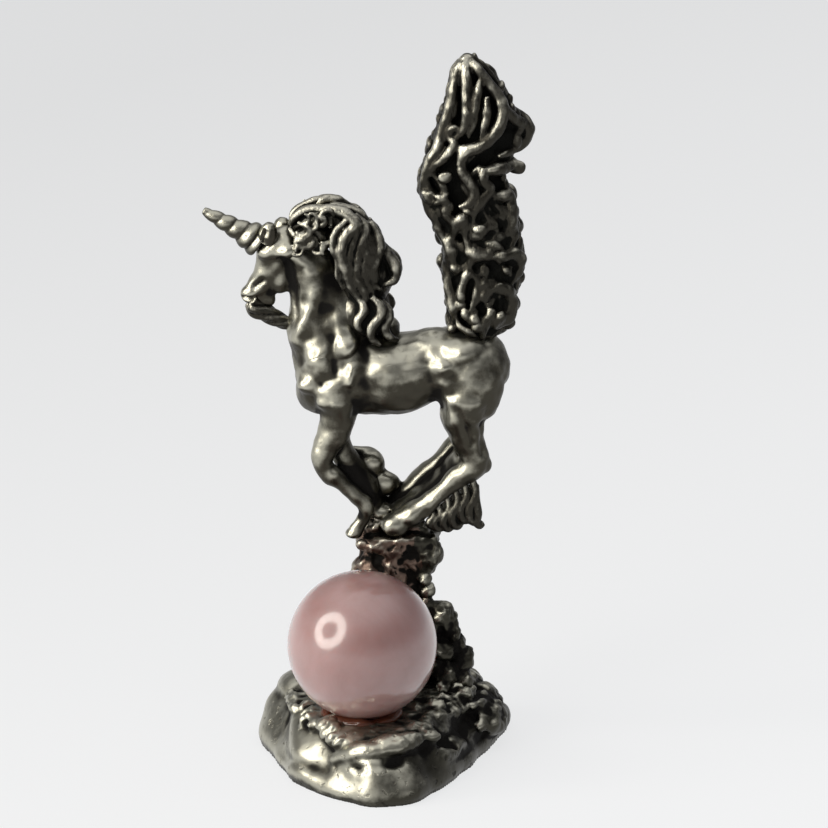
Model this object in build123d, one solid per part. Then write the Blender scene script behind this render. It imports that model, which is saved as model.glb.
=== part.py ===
from build123d import *
import math
import os

# A cast pewter unicorn gathers its feet on top of a rock spire and holds its tail straight up.
# The spire stands on a rock foot, where a polished pink stone ball is cemented in a cup.
# Millimetres, +Z up. The origin is the middle of the foot's underside, +X points to the tail
# and -Y to the ball.

# Rock foot
FOOT_WIDTH = 26.2
FOOT_DEPTH = 30.4
FOOT_HEIGHT = 6.6
FOOT_SLOPE = 5.0
FOOT_LOBES = 7
FOOT_LOBE_DEPTH = 1.5
FOOT_LIP_LENGTH = 10.0
FOOT_LIP_THICKNESS = 2.4

# Stone ball and its bed
BALL_DIAMETER = 15.4
BALL_SINK = 0.4
BALL_OFFSET_X = -2.2
CEMENT_FILM = 0.15

# Rock spire and the rubble at its foot
SPIRE_HEIGHT = 15.9
SPIRE_FOOT_WIDTH = 13.0
SPIRE_WAIST_WIDTH = 6.4
SPIRE_LEDGE_WIDTH = 8.4
SPIRE_DEPTH = 7.2
SPIRE_LEDGE_X = 1.8
TENON_DIAMETER = 4.0
TENON_LENGTH = 3.4
RUBBLE_SIZE = 3.2
RUBBLE_COUNT = 6

# Unicorn's body. Heights of the figure are measured from the ledge that its hooves stand on.
FIGURE_Y = 7.0
BODY_RISE = 17.5
BODY_LENGTH = 22.4
BODY_CENTRE_X = 1.8
BARREL_DEPTH = 8.8
BARREL_WIDTH = 8.2
NECK_RISE = 14.4
NECK_LEAN = 6.0
NECK_DEPTH = 7.4
NECK_WIDTH = 5.2
MUSCLE_SIZE = 5.4
MUSCLE_SPREAD = 7.6

# Head, horn, ears and beard
HEAD_LENGTH = 8.5
HEAD_PITCH = 63.0
HEAD_DEPTH = 5.4
HEAD_WIDTH = 3.8
EYE_DIAMETER = 0.9
MOUTH_LENGTH = 2.4
MOUTH_GAP = 0.3
HORN_LENGTH = 6.8
HORN_DIAMETER = 2.9
HORN_PITCH = 31.0
HORN_TURNS = 2
HORN_FLUTES = 2
HORN_RELIEF = 0.16
EAR_LENGTH = 3.4
EAR_WIDTH = 1.5
EAR_THINNESS = 0.67
BEARD_LENGTH = 3.6
BEARD_THICKNESS = 1.3
BEARD_FLUTES = 5

# Legs
LEG_SPACING = 4.4
SHOULDER_THICKNESS = 5.6
FOREARM_THICKNESS = 3.2
KNEE_THICKNESS = 2.6
THIGH_THICKNESS = 6.6
GASKIN_THICKNESS = 3.6
HOCK_THICKNESS = 2.6
CANNON_THICKNESS = 1.8
FETLOCK_THICKNESS = 2.1
HOOF_THICKNESS = 2.5
FEATHER_LENGTH = 4.4
FEATHER_SPREAD = 5.0
FEATHER_THICKNESS = 1.9
FEATHER_LOCKS = 5

# Hair
MANE_WIDTH = 7.0
MANE_THICKNESS = 4.6
MANE_STRANDS = 8
FORELOCK_CURLS = 6
FORELOCK_THICKNESS = 3.2
FORELOCK_LENGTH = 3.8
TAIL_HEIGHT = 30.2
TAIL_WIDTH = 8.2
TAIL_THICKNESS = 5.4
TAIL_STRANDS = 10
HAIR_RELIEF = 0.3

# Pegs that locate the castings before they are soldered
PEG_DIAMETER = 1.2
PEG_LENGTH = 1.6
PEG_CLEARANCE = 0.05

LEDGE_Z = FOOT_HEIGHT + SPIRE_HEIGHT
BALL_RADIUS = BALL_DIAMETER / 2
BALL_CENTRE = Vector(
    BALL_OFFSET_X,
    FIGURE_Y - SPIRE_DEPTH / 2 - BALL_RADIUS,
    FOOT_HEIGHT - BALL_SINK + BALL_RADIUS,
)
SIDE = Vector(0, 1, 0)
NECK_SHARE = 0.24
UP = Vector(0, 0, 1)
CHEST_X = BODY_CENTRE_X - BODY_LENGTH / 2


# Shared shapes

def frame_at(along):
    """Two directions square to along: to the figure's side, and upward in its middle plane."""
    along = along.normalized()
    side = (SIDE - along * SIDE.dot(along)).normalized()
    return side, along.cross(side)


def oval(centre, along, rise, drop, half_side, points=8):
    """A closed egg-shaped section square to along, rise high above its centre and drop deep below."""
    side, upward = frame_at(along)
    outline = []
    for step in range(points):
        angle = math.tau * step / points
        height = rise if math.sin(angle) >= 0 else drop
        outline.append(centre + side * (half_side * math.cos(angle)) + upward * (height * math.sin(angle)))
    return Wire([Edge.make_spline(outline, periodic=True)])


def directions(centres):
    """The direction of a path at each of its points."""
    last = len(centres) - 1
    return [centres[min(i + 1, last)] - centres[max(i - 1, 0)] for i in range(last + 1)]


def limb(stations):
    """A rounded form through stations, each a centre with its rise, drop and half side."""
    centres = [station[0] for station in stations]
    return Solid.make_loft([oval(c, d, *s[1:]) for c, d, s in zip(centres, directions(centres), stations)])


def dome(tip, neighbour):
    """Two shrinking stations that round off the end of a limb at tip."""
    outward = (tip[0] - neighbour[0]).normalized()
    reach = min(tip[1:])
    caps = []
    for angle in (math.radians(40), math.radians(75)):
        centre = tip[0] + outward * (reach * math.sin(angle))
        caps.append((centre, *(size * math.cos(angle) for size in tip[1:])))
    return caps


def domed(stations):
    """The same stations with a round cap past each end."""
    return dome(stations[0], stations[1])[::-1] + stations + dome(stations[-1], stations[-2])


def round_limb(places):
    """A limb of round sections with round ends, through places, each a centre with its thickness."""
    return limb(domed([(centre, *3 * [thickness / 2]) for centre, thickness in places]))


def rod(start, direction, diameter, length):
    """A round bar from start along direction."""
    bar = Cylinder(diameter / 2, length, align=(Align.CENTER, Align.CENTER, Align.MIN))
    return (Plane(origin=start, z_dir=direction) * bar).solid()


def peg(seat, direction, diameter=PEG_DIAMETER, length=PEG_LENGTH):
    """A peg that stands length deep in the mate beyond seat, rooted as deep in the piece that carries it."""
    return rod(seat - direction.normalized() * length, direction, diameter, 2 * length)


def peg_hole(seat, direction, diameter=PEG_DIAMETER, length=PEG_LENGTH):
    """The hole for that peg, wider all round and deeper by the clearance."""
    start = seat - direction.normalized() * length
    return rod(start, direction, diameter + 2 * PEG_CLEARANCE, 2 * length + PEG_CLEARANCE)


def flutes(centre, along, rise, drop, half_side, count, turn, relief):
    """A closed section of rounded flutes side by side, as locks of hair lie round a core."""
    side, upward = frame_at(along)
    steps = 4 * count
    outline = []
    for step in range(steps):
        angle = math.tau * step / steps + turn
        height = rise if math.sin(angle) >= 0 else drop
        swell = 1 + relief * (math.cos(count * (angle - turn)) - 1) / 2
        across = side * (half_side * swell * math.cos(angle))
        outline.append(centre + across + upward * (height * swell * math.sin(angle)))
    return Wire([Edge.make_spline(outline, periodic=True)])


def lock(stations, count, sway, waves, relief):
    """A tress through stations whose flutes sway from side to side in waves along it."""
    centres = [station[0] for station in stations]
    last = len(stations) - 1
    rings = []
    for i, (way, station) in enumerate(zip(directions(centres), stations)):
        turn = sway * math.sin(math.tau * waves * i / last)
        rings.append(flutes(centres[i], way, *station[1:], count, turn, relief))
    return Solid.make_loft(rings)


def largest(shape):
    """The largest solid of a shape."""
    return max(shape.solids(), key=lambda solid: solid.volume)


def joined(first, *others):
    """One solid from overlapping pieces."""
    return largest(first.fuse(*others))


def trimmed(piece, *neighbours):
    """What is left of a piece outside its neighbours, as one solid."""
    for neighbour in neighbours:
        piece = largest(piece.cut(neighbour))
    return piece


def beyond_middle(side):
    """A block that fills the space past the unicorn's middle plane, seen from one side."""
    reach = BODY_LENGTH * 2
    place = Pos(0, FIGURE_Y - math.copysign(reach / 2, side), LEDGE_Z + reach / 2)
    return (place * Box(2 * reach, reach, 2 * reach)).solid()


def below_ledge():
    """A block that fills the space under the ledge."""
    reach = BODY_LENGTH * 2
    return (Pos(0, FIGURE_Y, LEDGE_Z - reach / 2) * Box(2 * reach, reach, reach)).solid()


def at(x, height, side=0.0):
    """A place on the unicorn: x along its body, height above the ledge, side from its middle plane."""
    return Vector(x, FIGURE_Y + side, LEDGE_Z + height)


def on_body(share, height):
    """A place in the unicorn's middle plane, by its share of the body's length and height from the axis."""
    return at(CHEST_X + BODY_LENGTH * share, BODY_RISE + height)


# Rock foot, spire, rubble and ball

# The foot's outline in shares of its half width and half depth: a blunt point at the front, a broad back.
FOOT_SHAPE = (
    (0.0, -1.0),
    (0.2, -0.95),
    (0.44, -0.67),
    (0.68, -0.24),
    (0.87, 0.22),
    (1.0, 0.7),
    (0.8, 0.96),
    (0.25, 1.0),
    (-0.35, 0.97),
    (-0.8, 0.8),
    (-1.0, 0.48),
    (-0.89, -0.02),
    (-0.74, -0.45),
    (-0.5, -0.76),
    (-0.27, -0.91),
)


def foot_outline(rise, slope, lobes, turn):
    """One level of the mound, in shares of its height and slope, with rounded lobes of rock round it."""
    shape = Edge.make_spline([Vector(x, y, 0) for x, y in FOOT_SHAPE], periodic=True)
    count = 4 * FOOT_LOBES
    outline = []
    for step in range(count):
        share = step / count
        place = shape.position_at(share)
        hollow = lobes * FOOT_LOBE_DEPTH * (1 - math.cos(math.tau * FOOT_LOBES * share + turn)) / 2
        inset = FOOT_SLOPE * slope + hollow
        half_width, half_depth = FOOT_WIDTH / 2 - inset, FOOT_DEPTH / 2 - inset
        outline.append(Vector(place.X * half_width, place.Y * half_depth, FOOT_HEIGHT * rise))
    return Wire([Edge.make_spline(outline, periodic=True)])


def foot_lip():
    """A fold of rock across the front of the mound, before the ball, that sinks into it at both ends."""
    middle = Vector(0.0, 3.4 - FOOT_DEPTH / 2, 0.82 * FOOT_HEIGHT)
    course = [
        (-0.5, 0.16, -0.3, 0.5),
        (-0.28, 0.02, -0.1, 0.9),
        (0.0, 0.0, 0.0, 1.0),
        (0.25, 0.1, 0.05, 0.85),
        (0.5, 0.32, 0.0, 0.5),
    ]
    stations = []
    for along, back, rise, size in course:
        centre = middle + Vector(along, back, 0) * FOOT_LIP_LENGTH + UP * (rise * FOOT_HEIGHT)
        half = size * FOOT_LIP_THICKNESS / 2
        stations.append((centre, half, half, 1.2 * half))
    return limb(domed(stations))


def make_foot_blank():
    """The mound before its cup and tenon hole are made. Its widest line is a little above the underside."""
    levels = [
        (0.0, 0.12, 0.0, 0.0),
        (0.15, 0.0, 0.1, 0.0),
        (0.4, 0.08, 0.6, 0.5),
        (0.62, 0.2, 1.0, 1.2),
        (0.8, 0.38, 0.9, 1.9),
        (0.93, 0.62, 0.6, 2.6),
        (1.0, 1.0, 0.2, 3.2),
    ]
    mound = Solid.make_loft([foot_outline(*level) for level in levels])
    return joined(mound, foot_lip())


def make_ball(growth=0.0):
    return (Pos(BALL_CENTRE) * Sphere(BALL_RADIUS + growth)).solid()


def spire_outline(centre, half_width, half_depth, turn):
    """One level of the spire: a lumpy ring with five corners."""
    count = 10
    outline = []
    for step in range(count):
        angle = math.tau * step / count
        lump = 1 + 0.09 * math.cos(5 * angle + turn)
        place = Vector(half_width * lump * math.cos(angle), half_depth * lump * math.sin(angle), 0)
        outline.append(centre + place)
    return Wire([Edge.make_spline(outline, periodic=True)])


def make_spire_blank():
    """The rock pillar from inside the foot to the ledge, leaning over to the hooves, with its tenon."""
    half_depth = SPIRE_DEPTH / 2
    levels = [
        (-0.2, 0.0, SPIRE_FOOT_WIDTH, 1.0, 0.0),
        (0.15, 0.1, 0.9 * SPIRE_FOOT_WIDTH, 1.0, 0.9),
        (0.45, 0.5, 1.2 * SPIRE_WAIST_WIDTH, 0.95, 1.9),
        (0.72, 0.8, SPIRE_WAIST_WIDTH, 0.85, 2.6),
        (0.9, 1.0, SPIRE_LEDGE_WIDTH, 0.95, 3.3),
        (1.0, 1.0, 0.94 * SPIRE_LEDGE_WIDTH, 0.9, 3.6),
    ]
    rings = []
    for share, lean, width, depth, turn in levels:
        centre = Vector(SPIRE_LEDGE_X * lean, FIGURE_Y, FOOT_HEIGHT + SPIRE_HEIGHT * share)
        rings.append(spire_outline(centre, width / 2, half_depth * depth, turn))
    return Solid.make_loft(rings)


def tenon(growth=0.0):
    """The round tenon under the spire, or its hole in the foot when it is grown by the clearance."""
    start = Vector(0, FIGURE_Y, FOOT_HEIGHT - TENON_LENGTH - growth)
    return rod(start, UP, TENON_DIAMETER + 2 * growth, 2 * TENON_LENGTH)


def make_rubble():
    """Knobbly nuggets that climb the tail side of the spire."""
    nuggets = []
    for step in range(RUBBLE_COUNT):
        share = step / (RUBBLE_COUNT - 1)
        size = RUBBLE_SIZE * (1.15 - 0.4 * share)
        reach = SPIRE_FOOT_WIDTH / 2 * (1.16 - 0.22 * share)
        swing = 0.3 * SPIRE_DEPTH / 2 * math.cos(2.4 * step)
        centre = Vector(reach, FIGURE_Y - swing, FOOT_HEIGHT + 0.45 * SPIRE_HEIGHT * share)
        block = Rot(40 * step, 65 * step, 25 * step) * Box(0.8 * size, 0.75 * size, 0.85 * size)
        nuggets.append((Pos(centre) * (Sphere(size / 2) & block)).solid())
    return nuggets


# Unicorn's body, head, horn, ears and beard

def make_barrel():
    """The trunk from chest to rump, with a dip in the back and a full croup."""
    half_depth, half_width = BARREL_DEPTH / 2, BARREL_WIDTH / 2
    course = [
        (0.2, 0.0, 0.96, 0.98),
        (0.36, -0.1, 0.98, 1.0),
        (0.52, -0.02, 0.92, 0.96),
        (0.68, 0.08, 0.94, 0.98),
        (0.82, 0.14, 0.98, 1.02),
    ]
    stations = []
    for share, rise, height, width in course:
        reach = height * half_depth
        stations.append((on_body(share, rise * half_depth), reach, reach, width * half_width))
    return limb(domed(stations))


def make_neck():
    """The arched neck, upright at the throat, from inside the chest to the poll."""
    base = on_body(NECK_SHARE, 0)
    course = [
        (0.0, 0.0, 0.66, 0.5, 1.3),
        (0.3, 0.1, 0.68, 0.54, 1.15),
        (0.58, 0.3, 0.5, 0.5, 0.95),
        (0.82, 0.62, 0.38, 0.42, 0.82),
        (1.0, 1.0, 0.3, 0.32, 0.72),
    ]
    stations = []
    for rise, lean, throat, crest, width in course:
        centre = base + Vector(-NECK_LEAN * lean, 0, NECK_RISE * rise)
        stations.append((centre, throat * NECK_DEPTH, crest * NECK_DEPTH, width * NECK_WIDTH / 2))
    return limb(stations)


def make_muscles():
    """Round muscles that stand out on both sides of the chest."""
    muscles = []
    radius = MUSCLE_SIZE / 2
    for share, height, spread in [(0.12, 2.1, 0.91), (0.26, 3.8, 0.95), (0.1, -0.7, 0.97)]:
        for side in (-1, 1):
            centre = on_body(share, height) + SIDE * (side * (spread * MUSCLE_SPREAD / 2 - radius))
            muscles.append((Pos(centre) * Sphere(radius)).solid())
    return muscles


POLL = on_body(NECK_SHARE, NECK_RISE) - Vector(NECK_LEAN, 0, 0)
FACE = Vector(-math.cos(math.radians(HEAD_PITCH)), 0, -math.sin(math.radians(HEAD_PITCH)))
CROWN = Vector(-math.sin(math.radians(HEAD_PITCH)), 0, math.cos(math.radians(HEAD_PITCH)))


def on_head(share, height, side=0.0):
    """A place on the head: its share of the way from poll to muzzle, height to the crown, and side."""
    return POLL + FACE * (HEAD_LENGTH * share) + CROWN * height + SIDE * side


def make_skull():
    """Forehead, cheeks and muzzle, full at the jaw and narrow at the nose."""
    half_depth, half_width = HEAD_DEPTH / 2, HEAD_WIDTH / 2
    course = [
        (0.95, -0.05, 0.5, 0.52, 0.58),
        (0.84, -0.02, 0.54, 0.6, 0.7),
        (0.66, 0.0, 0.56, 0.64, 0.64),
        (0.46, 0.0, 0.8, 0.98, 0.86),
        (0.24, 0.0, 0.98, 1.08, 1.02),
        (0.04, 0.0, 0.9, 0.86, 0.95),
    ]
    stations = []
    for share, rise, crown, jaw, width in course:
        centre = on_head(share, rise * half_depth)
        stations.append((centre, crown * half_depth, jaw * half_depth, width * half_width))
    return limb(domed(stations))


def with_face(skull):
    """The skull with raised eyes and a mouth slit."""
    half_depth, half_width = HEAD_DEPTH / 2, HEAD_WIDTH / 2
    for side in (-1, 1):
        eye = Pos(on_head(0.36, 0.36 * half_depth, side * 0.84 * half_width)) * Sphere(EYE_DIAMETER / 2)
        skull = joined(skull, eye.solid())
    slit_plane = Plane(origin=on_head(1.0, -0.3 * half_depth), x_dir=FACE, z_dir=CROWN)
    slit = slit_plane * Box(MOUTH_LENGTH, 2 * HEAD_WIDTH, MOUTH_GAP)
    return trimmed(skull, slit.solid())


HORN_SEAT = on_head(0.22, 0.72 * HEAD_DEPTH / 2)
HORN_WAY = Vector(-math.cos(math.radians(HORN_PITCH)), 0, math.sin(math.radians(HORN_PITCH)))


def make_horn():
    """A tapering horn whose rounded ridges wind round it."""
    side, upward = frame_at(HORN_WAY)
    levels, points = 4 * HORN_FLUTES * HORN_TURNS, 6 * HORN_FLUTES
    rings = []
    for level in range(levels + 1):
        share = level / levels
        radius = HORN_DIAMETER / 2 * (1 - 0.86 * share)
        centre = HORN_SEAT + HORN_WAY * (HORN_LENGTH * share)
        outline = []
        for step in range(points):
            angle = math.tau * step / points
            ridge = math.cos(HORN_FLUTES * (angle - math.tau * HORN_TURNS * share))
            reach = radius * (1 + HORN_RELIEF * ridge)
            outline.append(centre + side * (reach * math.cos(angle)) + upward * (reach * math.sin(angle)))
        rings.append(Wire([Edge.make_spline(outline, periodic=True)]))
    return Solid.make_loft(rings)


def make_ear(side):
    """A pointed leaf-shaped ear that stands up and out from the side of the poll."""
    root = on_head(0.15, 0.4 * HEAD_DEPTH / 2, side * 0.3 * HEAD_WIDTH)
    way = (UP + SIDE * (0.35 * side)).normalized()
    stations = []
    for share, width in [(0.0, 0.6), (0.3, 1.0), (0.65, 0.8), (0.9, 0.35), (1.0, 0.12)]:
        half = width * EAR_WIDTH / 2
        stations.append((root + way * (EAR_LENGTH * share), half, half, EAR_THINNESS * half))
    return limb(stations)


def make_beard():
    """A tuft that sweeps back from the chin to the throat."""
    chin = on_head(0.9, -0.45 * HEAD_DEPTH / 2)
    back = Vector(0.8, 0, -0.6)
    stations = []
    for share, sag, size in [(0.0, 0.0, 0.9), (0.35, -0.12, 1.0), (0.7, -0.08, 0.75), (1.0, 0.0, 0.35)]:
        half = size * BEARD_THICKNESS / 2
        centre = chin + back * (BEARD_LENGTH * share) + UP * (BEARD_LENGTH * sag)
        stations.append((centre, half, half, 1.6 * half))
    return lock(domed(stations), BEARD_FLUTES, 0.2, 1.0, HAIR_RELIEF)


# Legs and the long hair behind the hind fetlocks

NEAR = -LEG_SPACING / 2
OFF = LEG_SPACING / 2
HIND_LEGS = ((NEAR, 0.0), (OFF, -0.6))
HIND_HOOF_X = SPIRE_LEDGE_X - 0.5
FORE_HOOF_X = SPIRE_LEDGE_X - 4.5


def hind_leg_places(side, shift):
    """Centres and thicknesses from the thigh down to the hoof on the ledge."""
    hip = on_body(0.83, 0) + SIDE * side
    return [
        (hip, THIGH_THICKNESS),
        (hip + Vector(-0.8, 0, -2.7), 0.9 * THIGH_THICKNESS),
        (at(8.3 + shift, 11.6, side), GASKIN_THICKNESS),
        (at(9.3 + shift, 8.4, side), HOCK_THICKNESS),
        (at(7.2 + shift, 5.9, side), 1.1 * CANNON_THICKNESS),
        (at(4.9 + shift, 4.2, side), CANNON_THICKNESS),
        (at(HIND_HOOF_X + 1.7 + shift, 2.7, side), FETLOCK_THICKNESS),
        (at(HIND_HOOF_X + shift, 0.48 * HOOF_THICKNESS, side), HOOF_THICKNESS),
    ]


def near_fore_places():
    """The near foreleg, bent at the knee, with its hoof set down on the front of the ledge."""
    shoulder = on_body(0.21, 0.0) + SIDE * NEAR
    return [
        (shoulder, SHOULDER_THICKNESS),
        (shoulder + Vector(0.0, 0, -3.4), 0.72 * SHOULDER_THICKNESS),
        (at(-5.5, 10.4, NEAR), FOREARM_THICKNESS),
        (at(-6.3, 8.0, NEAR), KNEE_THICKNESS),
        (at(-5.2, 6.0, NEAR), 1.1 * CANNON_THICKNESS),
        (at(-3.5, 4.3, NEAR), CANNON_THICKNESS),
        (at(FORE_HOOF_X + 0.7, 2.9, NEAR), FETLOCK_THICKNESS),
        (at(FORE_HOOF_X + 0.8, 1.6, NEAR), 0.9 * FETLOCK_THICKNESS),
        (at(FORE_HOOF_X, 0.3 * HOOF_THICKNESS, NEAR), 0.85 * HOOF_THICKNESS),
    ]


def off_fore_places():
    """The off foreleg, folded under the chest with its hoof off the rock."""
    shoulder = on_body(0.21, 0.0) + SIDE * OFF
    return [
        (shoulder, SHOULDER_THICKNESS),
        (shoulder + Vector(0.2, 0, -3.4), 0.72 * SHOULDER_THICKNESS),
        (at(-4.8, 10.2, OFF), FOREARM_THICKNESS),
        (at(-5.2, 8.0, OFF), KNEE_THICKNESS),
        (at(-3.6, 6.6, OFF), CANNON_THICKNESS),
        (at(-1.9, 6.2, OFF), FETLOCK_THICKNESS),
        (at(-0.5, 5.0, OFF), HOOF_THICKNESS),
        (at(0.6, 4.0, OFF), 0.8 * HOOF_THICKNESS),
    ]


def make_leg(places, side):
    """A leg on its own side of the middle plane, its sole flat on the ledge."""
    return trimmed(round_limb(places), beyond_middle(side), below_ledge())


def make_feather(side, shift):
    """A fan of locks that hangs behind the cannon bone."""
    middle = at(6.6 + shift, 4.6, side)
    course = [(0.0, 0.0, 0.62, 0.7), (0.4, 0.06, 0.8, 1.0), (0.75, 0.12, 0.98, 0.9), (1.0, 0.16, 1.0, 0.5)]
    stations = []
    for share, lean, width, thick in course:
        centre = middle + Vector(FEATHER_SPREAD * lean, 0, -FEATHER_LENGTH * share)
        half = width * FEATHER_SPREAD / 2
        stations.append((centre, half, half, thick * FEATHER_THICKNESS / 2))
    locks = lock(stations, 2 * FEATHER_LOCKS, 0.0, 1.0, HAIR_RELIEF)
    return trimmed(locks, beyond_middle(side), below_ledge())


# Mane, forelock and tail

def mane_stations():
    """The mane's core, from the crown over the crest to the withers."""
    top = POLL + Vector(4.7, 0, 3.4)
    course = [
        (0.0, 0.0, 0.38),
        (0.2, 1.6, 0.83),
        (0.4, 2.8, 1.0),
        (0.55, 4.1, 0.97),
        (0.72, 3.8, 0.6),
        (0.86, 4.0, 0.46),
        (1.0, 5.3, 0.3),
    ]
    fall = (top - on_body(0.42, BARREL_DEPTH / 2)).Z
    return [
        (
            top + Vector(x, 0, -fall * share),
            width * MANE_WIDTH / 2,
            width * MANE_WIDTH / 2,
            (0.4 + 0.6 * width) * MANE_THICKNESS / 2,
        )
        for share, x, width in course
    ]


def make_mane():
    return lock(domed(mane_stations()), MANE_STRANDS, 0.3, 1.6, HAIR_RELIEF)


def make_forelock():
    """A curly tress that rolls forward from the crown, between the ears, to the root of the horn."""
    root = POLL + Vector(4.2, 0, 1.9)
    way = Vector(-0.95, 0, -0.3)
    stations = []
    for share, lift, size in [(0.0, 0.0, 0.8), (0.35, 0.12, 1.0), (0.7, 0.06, 0.85), (1.0, -0.04, 0.5)]:
        half = size * FORELOCK_THICKNESS / 2
        centre = root + way * (FORELOCK_LENGTH * share) + UP * (FORELOCK_LENGTH * lift)
        stations.append((centre, half, half, 1.2 * half))
    return lock(domed(stations), FORELOCK_CURLS, 0.5, 1.2, HAIR_RELIEF)


TAIL_ROOT = on_body(0.86, 0.92 * BARREL_DEPTH / 2)


def tail_stations():
    """The tail's core: a thick wavy stem that swells twice and closes to a flame-like tip."""
    course = [
        (-0.04, 0.0, 0.6),
        (0.06, 0.05, 0.74),
        (0.16, 0.06, 0.8),
        (0.26, 0.1, 0.92),
        (0.36, 0.0, 0.9),
        (0.46, -0.12, 1.0),
        (0.56, -0.18, 0.92),
        (0.66, 0.0, 1.02),
        (0.74, 0.1, 0.98),
        (0.83, 0.02, 0.64),
        (0.92, -0.05, 0.38),
        (0.98, -0.1, 0.18),
    ]
    return [
        (
            TAIL_ROOT + Vector(lean * TAIL_WIDTH, 0, TAIL_HEIGHT * share),
            width * TAIL_WIDTH / 2,
            width * TAIL_WIDTH / 2,
            (0.25 + 0.75 * width) * TAIL_THICKNESS / 2,
        )
        for share, lean, width in course
    ]


def make_tail():
    return lock(domed(tail_stations()), TAIL_STRANDS, 0.3, 2.5, HAIR_RELIEF)


def build():
    """Every piece, cut to seat on the pieces that carry it, with pegs where castings are plugged together."""
    foot, ball, bed = make_foot_blank(), make_ball(), make_ball(CEMENT_FILM)
    spire = joined(make_spire_blank(), *make_rubble())
    barrel, neck, skull, mane = make_barrel(), make_neck(), make_skull(), make_mane()
    body = joined(barrel, neck, *make_muscles())
    near_hind, off_hind = (make_leg(hind_leg_places(side, shift), side) for side, shift in HIND_LEGS)
    near_fore, off_fore = make_leg(near_fore_places(), NEAR), make_leg(off_fore_places(), OFF)
    near_feather, off_feather = (make_feather(side, shift) for side, shift in HIND_LEGS)
    hooves = [at(HIND_HOOF_X + shift, 0, side) for side, shift in HIND_LEGS]
    neck_way = on_body(NECK_SHARE, 0) - POLL
    hoof_holes = [peg_hole(hoof, -UP) for hoof in hooves]
    horn_hole = peg_hole(HORN_SEAT, -HORN_WAY)
    return {
        "rock_foot": trimmed(foot, bed, tenon(PEG_CLEARANCE)),
        "rock_spire": trimmed(joined(trimmed(spire, foot, bed), tenon()), *hoof_holes),
        "stone_ball": ball,
        "ball_cement": trimmed(largest(bed.intersect(foot)), ball),
        "body": trimmed(body, peg_hole(TAIL_ROOT, -UP), peg_hole(POLL, neck_way), horn_hole),
        "head": joined(trimmed(with_face(skull), neck, horn_hole), peg(POLL, neck_way)),
        "horn": joined(trimmed(make_horn(), skull), peg(HORN_SEAT, -HORN_WAY)),
        "near_ear": trimmed(make_ear(-1), skull),
        "off_ear": trimmed(make_ear(1), skull),
        "beard": trimmed(make_beard(), skull, neck),
        "forelock": trimmed(make_forelock(), skull, neck, mane),
        "mane": trimmed(mane, body, skull),
        "near_hind_leg": joined(trimmed(near_hind, barrel), peg(hooves[0], -UP)),
        "off_hind_leg": joined(trimmed(off_hind, barrel), peg(hooves[1], -UP)),
        "near_foreleg": trimmed(near_fore, body),
        "off_foreleg": trimmed(off_fore, body),
        "near_feather": trimmed(near_feather, near_hind),
        "off_feather": trimmed(off_feather, off_hind),
        "tail": joined(trimmed(make_tail(), barrel), peg(TAIL_ROOT, -UP)),
    }


os.makedirs("parts", exist_ok=True)
for name, piece in build().items():
    export_step(piece, f"parts/{name}.step")
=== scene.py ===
import math
import random

import bpy
import numpy as np
from mathutils import Euler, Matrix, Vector, noise


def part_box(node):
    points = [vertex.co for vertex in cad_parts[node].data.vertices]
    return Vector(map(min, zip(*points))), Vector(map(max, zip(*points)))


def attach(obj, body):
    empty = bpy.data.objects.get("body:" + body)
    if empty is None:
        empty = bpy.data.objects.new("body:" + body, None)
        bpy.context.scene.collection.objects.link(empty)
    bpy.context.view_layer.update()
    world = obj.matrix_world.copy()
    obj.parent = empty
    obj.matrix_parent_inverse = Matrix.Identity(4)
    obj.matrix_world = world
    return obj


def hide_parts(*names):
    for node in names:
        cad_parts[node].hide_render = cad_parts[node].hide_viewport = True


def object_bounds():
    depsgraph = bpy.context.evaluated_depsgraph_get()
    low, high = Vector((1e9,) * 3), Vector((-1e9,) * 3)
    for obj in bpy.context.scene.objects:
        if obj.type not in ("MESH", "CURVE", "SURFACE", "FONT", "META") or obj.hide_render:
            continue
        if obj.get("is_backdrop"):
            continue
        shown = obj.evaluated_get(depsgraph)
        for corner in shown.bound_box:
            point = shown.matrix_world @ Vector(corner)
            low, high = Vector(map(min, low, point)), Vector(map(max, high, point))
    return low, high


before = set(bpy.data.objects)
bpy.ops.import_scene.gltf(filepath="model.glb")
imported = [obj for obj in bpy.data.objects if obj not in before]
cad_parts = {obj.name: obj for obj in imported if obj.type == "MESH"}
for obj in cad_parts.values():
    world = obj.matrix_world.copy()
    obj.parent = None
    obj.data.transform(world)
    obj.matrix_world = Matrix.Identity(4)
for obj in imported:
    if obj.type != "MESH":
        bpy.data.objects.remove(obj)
cad_low, cad_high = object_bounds()


# The rock foot: a shield-shaped mound of pewter, cast solid with a flat underside and crusted with lumps.
# It was toned black all over and then worn back by rubbing, so its rims and ridges are bright and its hollows
# stay dark. Its sides towards the lamps, up and to the left, also get a painted highlight, and its right
# flank painted shade.

MM = 0.001
ROOM_MIDDLE = 7.0
CRUST_SEED = 11
FOOT_GRAIN = 0.2
# The way that the painted highlight comes from: up, to the left and a little to the front, towards the lamps.
PAINTED_LIGHT_WAY = np.array((-0.38, -0.3, 0.87))


def select_only(*pieces):
    """Selects these pieces and nothing else, with the first one active."""
    bpy.ops.object.select_all(action="DESELECT")
    for piece in pieces:
        piece.select_set(True)
    bpy.context.view_layer.objects.active = pieces[0]


def copy_of(node):
    """A welded copy of a CAD node's mesh, enlarged so that one unit is a millimetre."""
    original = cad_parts[node]
    piece = bpy.data.objects.new(node + "_copy", original.data.copy())
    piece.data.materials.clear()
    bpy.context.scene.collection.objects.link(piece)
    select_only(piece)
    piece.scale = (1 / MM,) * 3
    bpy.ops.object.transform_apply(location=True, rotation=True, scale=True)
    weld = piece.modifiers.new("weld", "WELD")
    weld.merge_threshold = 0.001
    bpy.ops.object.modifier_apply(modifier="weld")
    return piece


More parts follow.
